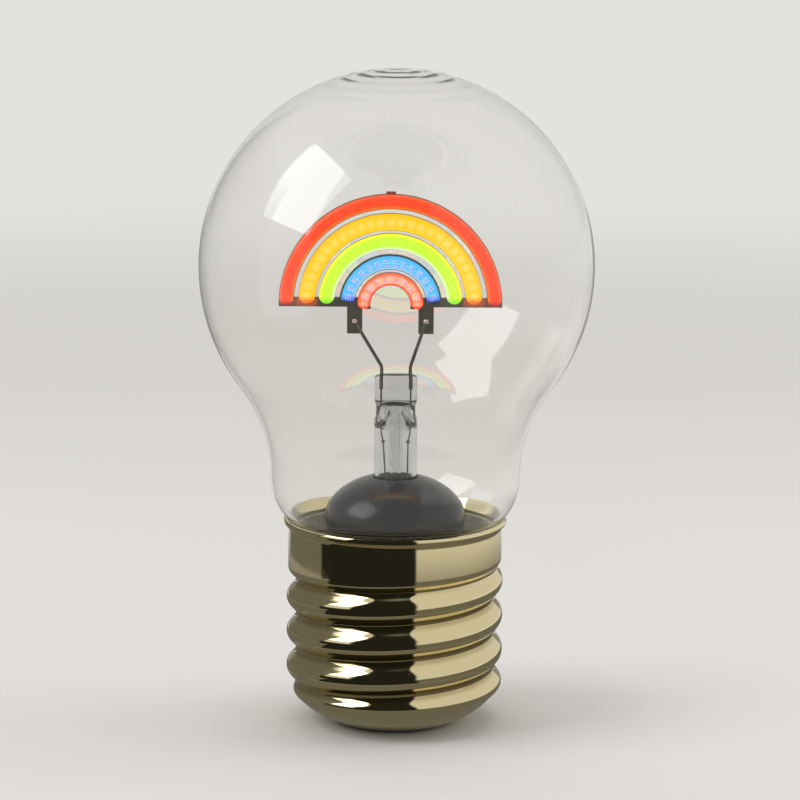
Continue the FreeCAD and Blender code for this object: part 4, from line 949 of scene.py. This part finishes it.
class LAMP_OT_rainbow(bpy.types.Operator):
    """Casts the five light strips on both faces of the board, with the chips that show"""

    bl_idname = "lamp.rainbow"
    bl_label = "Rainbow"

    def execute(self, context):
        rainbow = settings("rainbow")
        round_end, blunt_end = 1.0, 0.08
        dress(solder_mask(), "led_board")
        faces = ((rainbow.front, -1.0), (rainbow.back, 1.0))
        for name in STRIPS:
            cap = blunt_end if name == "blue" else round_end
            grids = [strip_grid(settings(name), cap, face, side) for face, side in faces]
            make_piece(name + "_strip", grids, cast_silicone(name), [name + "_coat"])
        dress(lit_chip("red_phosphor_chip_lit", "#FF6A44", "#FF7A50"), "red_chips")
        dress(lit_chip("amber_phosphor_chip_lit", "#FFD870", "#FFE49A"), "amber_chips")
        dress(lit_chip("lime_phosphor_chip_lit", "#E4FF90", "#F0FFB8"), "lime_chips")
        self.blue_contacts(faces)
        self.coral_spots(faces)
        return {"FINISHED"}

    def blue_contacts(self, faces):
        """S-shaped contacts over the blue chips, with a dark tick in each gap between them."""
        strip = settings("blue")
        chip = lit_chip("gallium_nitride_chip_lit", "#A6B4FF", "#E4CCF8")
        tick = lit_chip("gallium_nitride_edge_dim", "#2C63D0", "#3D7BE2")
        dress(chip, "blue_chips")
        first = math.radians(12.0)
        high, wide, stroke = 0.54 * MM, 0.42 * MM, 0.19 * MM
        ticks_at = np.array([(0.27, -0.1), (-0.27, 0.1), (0.4, 0.76), (-0.4, 0.76)]) * MM
        tick_line, tick_width = np.array([0.01, 0.2]) * MM, 0.12 * MM
        contacts, edges = [], []
        for face, side in faces:
            turn = side * wide
            corners = (
                (high, turn), (high, -turn), (0.0, -turn), (0.0, turn), (-high, turn), (-high, -turn))
            snake = [(a, b, stroke) for a, b in zip(corners, corners[1:])]
            mirror = np.array([1.0, side])
            ticks = [(at * mirror, (at + tick_line) * mirror, tick_width) for at in ticks_at]
            contacts += mark_grids(snake, strip, first, face, side)
            edges += mark_grids(ticks, strip, first, face, side)
        make_piece("blue_chip_contacts", contacts, chip, [])
        make_piece("blue_chip_edges", edges, tick, [])

    def coral_spots(self, faces):
        """Two rows of three hot spots over each chip of the inner strip."""
        strip = settings("coral")
        chip = lit_chip("aluminium_gallium_chip_lit", "#FF8CC8", "#FFF2F6")
        dress(chip, "coral_chips")
        first = math.radians(17.0)
        row, gap, half_long, wide = 0.27 * MM, 0.58 * MM, 0.06 * MM, 0.26 * MM
        spots = [
            ((radial - half_long, lengthwise), (radial + half_long, lengthwise), wide)
            for lengthwise in (-row, row) for radial in (-gap, 0.0, gap)]
        grids = []
        for face, side in faces:
            grids += mark_grids(spots, strip, first, face, side)
        make_piece("coral_chip_spots", grids, chip, [])


class LAMP_OT_shell(bpy.types.Operator):
    """Spins the brass shell: bottom, bowl, rolled thread, collar and lip, with its inside"""

    bl_idname = "lamp.shell"
    bl_label = "Brass shell"

    def execute(self, context):
        s = settings("shell")
        bottom = legs(
            (s.hole, s.bottom + s.hole_edge), ((s.hole + s.hole_edge, s.bottom), 3), ((s.foot, s.bottom), 4))
        outside = np.concatenate([
            bowl_heights(s.bottom, steps=26), np.linspace(s.bowl_top, collar_start(), 116)[1:]])
        inside_low = s.bottom + s.wall
        inside = np.concatenate([
            np.linspace(s.step, s.bowl_top, 72), bowl_heights(inside_low, steps=14)[::-1][1:]])
        rows = np.concatenate([
            revolve(bottom, SHELL_COLUMNS)[:-1],
            thread_grid(outside, inset=0.0),
            revolve(collar_profile(), SHELL_COLUMNS)[1:],
            thread_grid(inside, inset=s.wall),
            revolve(np.array([[s.hole, inside_low]]), SHELL_COLUMNS)])
        make_piece(
            "brass_shell", [rows], spun_brass(), ["screw_shell"], closed=True, sharp=50.0)
        return {"FINISHED"}


class LAMP_OT_dome(bpy.types.Operator):
    """Moulds the black dome in the neck and the cement ring round the glass tail"""

    bl_idname = "lamp.dome"
    bl_label = "Dome cover"

    def execute(self, context):
        black = moulded_black()
        grid = revolve(dome_profile(), DOME_COLUMNS)
        make_piece("dome_moulding", [grid], black, ["dome_cover"], closed=True)
        dress(black, "chassis", "base_plate", "power_button", "switch_plunger", "usb_tongue")
        cement = plain_polymer(
            "lamp_cement_baked", srgb("#C9C2B2"), srgb("#AFA691"), roughness=0.8, millimetres=1.5)
        dress(cement, "bedding_cement")
        return {"FINISHED"}


class LAMP_OT_inside(bpy.types.Operator):
    """Finishes the underside and what is inside the base"""

    bl_idname = "lamp.inside"
    bl_label = "Base fittings"

    def execute(self, context):
        # Kind of finish, its name, two tones, roughness, size of its pattern in millimetres, CAD nodes.
        fittings = (
            (drawn_metal, "nickel_plate_bright", "#D0CCC4", "#AFAAA0", 0.2, 3.0,
             ("usb_socket", "battery_strip_positive", "battery_strip_negative")),
            (drawn_metal, "zinc_plate_steel", "#BEC0C2", "#8E9194", 0.3, 1.0, ("base_screws",)),
            (plain_polymer, "nitrile_rubber_moulded", "#1A1A1B", "#242425", 0.75, 1.2, ("foot_ring",)),
            (plain_polymer, "pvc_film_shrunk", "#2F5F9E", "#3A6FB0", 0.3, 6.0, ("battery_cell",)),
            (plain_polymer, "pvc_insulation_extruded", "#A51F18", "#8C1812", 0.4, 2.0,
             ("feed_wire_left", "feed_wire_right")),
            (plain_polymer, "solder_mask_green", "#155C34", "#0F4A2A", 0.35, 3.0, ("control_board",)),
            (plain_polymer, "epoxy_moulded_black", "#1D1D1E", "#2A2A2B", 0.55, 1.0,
             ("board_components", "switch_body")),
        )
        for finish, name, light, dark, roughness, millimetres, nodes in fittings:
            dress(finish(name, srgb(light), srgb(dark), roughness, millimetres), *nodes)
        return {"FINISHED"}


class LAMP_OT_stage(bpy.types.Operator):
    """Sets the pale floor, the soft lights, the cards, the surroundings and the camera"""

    bl_idname = "lamp.stage"
    bl_label = "Stage"

    def execute(self, context):
        self.floor()
        self.surroundings(context.scene)
        for light in LIGHTS:
            self.softbox(*light)
        for card in CARDS:
            self.card(*card)
        self.camera(context.scene)
        return {"FINISHED"}

    def place_sheet(self, name, grid, material):
        """A sheet of the stage."""
        mesh = mesh_of(name, [grid], wrap_rows=False, wrap_columns=False, sharp=30.0)
        sheet = add_object(name, mesh, material)
        return sheet

    def floor(self):
        """One pale paper sheet, z = 0, lit near the lamp and evenly pale where it runs out of the light."""
        # Half the side of the sheet, and the distances between which the light fades, in metres.
        reach, lit, unlit = 4.0, 0.3, 0.9
        side = np.linspace(-reach, reach, 5)
        x, y = np.meshgrid(side, side, indexing="ij")
        tint = settings("stage").floor
        material, node, point = new_material("paper_floor")
        cloud = node("TexNoise", {"Vector": point, "Scale": per(60.0), "Detail": 2.0})
        share = node("MapRange", {"Value": cloud, "To Max": 0.05})
        pale = node("Mix", (share, tint, srgb("#FFFFFF")), **RGBA)
        paper = node("BsdfPrincipled", {"Base Color": pale, "Roughness": 0.9, "Specular IOR Level": 0.1})
        away = node("VectorMath", (point,), operation="LENGTH")
        far = node("MapRange", {"Value": away, "From Min": lit, "From Max": unlit}, **SOFT)
        faded = node("Math", (far, seen_rays(node)), operation="MULTIPLY")
        glow = node("Emission", {"Color": tint, "Strength": 1.0})
        both = node("MixShader", (faded, paper, glow))
        node("OutputMaterial", {"Surface": both})
        floor = self.place_sheet("floor", np.stack([x, y, np.zeros_like(x)], axis=-1), material)
        if floor.data.polygons[0].normal.z < 0:
            floor.data.flip_normals()

    def card(self, name, degrees, radii, heights, shade):
        """A curved card that stands or lies round the lamp, (R sin a, -R cos a, z) between two angles,
        and that only polished surfaces show, as flags beside a still-life table do. It thins out
        over its last degrees at both sides and over the outer half of its distance from the foot."""
        start, end = np.radians(degrees)
        middle, half = float(start + end) / 2, float(end - start) / 2
        edges = np.array([radii, heights])[:, :, None] * MM
        grid = polar(edges[0], np.linspace(start, end, CARD_COLUMNS) - QUARTER, edges[1])
        reach = np.linalg.norm(grid, axis=-1)
        material, node, point = new_material(name + "_paint")
        flat = node("VectorMath", (point, LEVEL), operation="MULTIPLY")
        outward = node("VectorMath", (flat,), operation="NORMALIZE")
        ahead = (math.sin(middle), -math.cos(middle), 0.0)
        facing = node("VectorMath", (outward, ahead), operation="DOT_PRODUCT")
        across = node("MapRange", {
            "Value": facing, "From Min": math.cos(half), "From Max": math.cos(half - CARD_EDGE)}, **SOFT)
        away = node("VectorMath", (point,), operation="LENGTH")
        along = node("MapRange", {
            "Value": away, "From Min": float(reach.mean()), "From Max": float(reach.max()),
            **FALLING}, **SOFT)
        cover = node("Math", (across, along), operation="MULTIPLY")
        glow = node("Emission", {"Color": getattr(settings("stage"), shade), "Strength": 1.0})
        paint = node("MixShader", (cover, node("BsdfTransparent"), glow))
        node("OutputMaterial", {"Surface": paint})
        card = self.place_sheet(name, grid, material)
        card.visible_camera = card.visible_diffuse = card.visible_transmission = card.visible_shadow = False

    def surroundings(self, scene):
        """Pale surroundings where they are seen, in glass and metal too, and a softer light."""
        scene.world = bpy.data.worlds.new("studio")
        node = empty_nodes(scene.world)
        tint = settings("stage").backdrop
        lit = node("Background", {"Color": tint, "Strength": 0.55})
        shown = node("Background", {"Color": tint, "Strength": 1.0})
        both = node("MixShader", (seen_rays(node), lit, shown))
        node("OutputWorld", {"Surface": both})

    def softbox(self, name, place, size, power, shown):
        """A rectangular soft light that faces the middle of the lamp."""
        data = bpy.data.lights.new(name, "AREA")
        data.shape = "RECTANGLE"
        data.size, data.size_y = size
        data.energy = power
        light = bpy.data.objects.new(name, data)
        light.location = place
        aim = Vector(LIGHT_AIM) - Vector(place)
        light.rotation_euler = aim.to_track_quat("-Z", "Y").to_euler()
        light.visible_glossy = light.visible_transmission = shown
        bpy.context.scene.collection.objects.link(light)

    def camera(self, scene):
        """A long lens at the height and tilt of the photograph."""
        s = settings("stage")
        data = bpy.data.cameras.new("camera")
        data.sensor_width = 36.0
        data.lens = s.focal
        data.clip_start = 0.01
        camera = bpy.data.objects.new("camera", data)
        look = Vector((0.0, math.cos(s.pitch), -math.sin(s.pitch)))
        turn = look.to_track_quat("-Z", "Y").to_matrix() @ Matrix.Rotation(s.roll, 3, "Z")
        place = Matrix.Translation((s.camera_side, -s.distance, s.camera_height))
        camera.matrix_world = place @ turn.to_4x4()
        scene.collection.objects.link(camera)
        scene.camera = camera
        scene.view_settings.view_transform = "Standard"


OPERATORS = (
    LAMP_OT_glass,
    LAMP_OT_stem,
    LAMP_OT_rainbow,
    LAMP_OT_shell,
    LAMP_OT_dome,
    LAMP_OT_inside,
    LAMP_OT_stage,
)


class LAMP_PT_panel(bpy.types.Panel):
    """Lists the lamp's operators and settings"""

    bl_label = "Rainbow lamp"
    bl_idname = "LAMP_PT_panel"
    bl_space_type = "VIEW_3D"
    bl_region_type = "UI"
    bl_category = "Rainbow lamp"

    def draw(self, context):
        for operator in OPERATORS:
            self.layout.operator(operator.bl_idname)
        for name, group in GROUPS.items():
            box = self.layout.box()
            box.label(text=group.__doc__)
            for prop in group.__annotations__:
                box.prop(settings(name), prop)


def register():
    """Makes the settings, operators and panel known to Blender."""
    for name, group in GROUPS.items():
        bpy.utils.register_class(group)
        setattr(bpy.types.Scene, "lamp_" + name, PointerProperty(type=group))
    for item in (*OPERATORS, LAMP_PT_panel):
        bpy.utils.register_class(item)


def unregister():
    """Takes them out again."""
    for item in (LAMP_PT_panel, *OPERATORS):
        bpy.utils.unregister_class(item)
    for name, group in GROUPS.items():
        delattr(bpy.types.Scene, "lamp_" + name)
        bpy.utils.unregister_class(group)


def main():
    """Builds the lamp in order and writes both boxes."""
    register()
    for item in bpy.data.objects[:]:
        if item.type in {"LIGHT", "CAMERA"}:
            bpy.data.objects.remove(item)
    bpy.ops.lamp.glass()
    bpy.ops.lamp.stem()
    bpy.ops.lamp.rainbow()
    bpy.ops.lamp.shell()
    bpy.ops.lamp.dome()
    bpy.ops.lamp.inside()
    bpy.ops.lamp.stage()


if __name__ == "__main__":
    main()
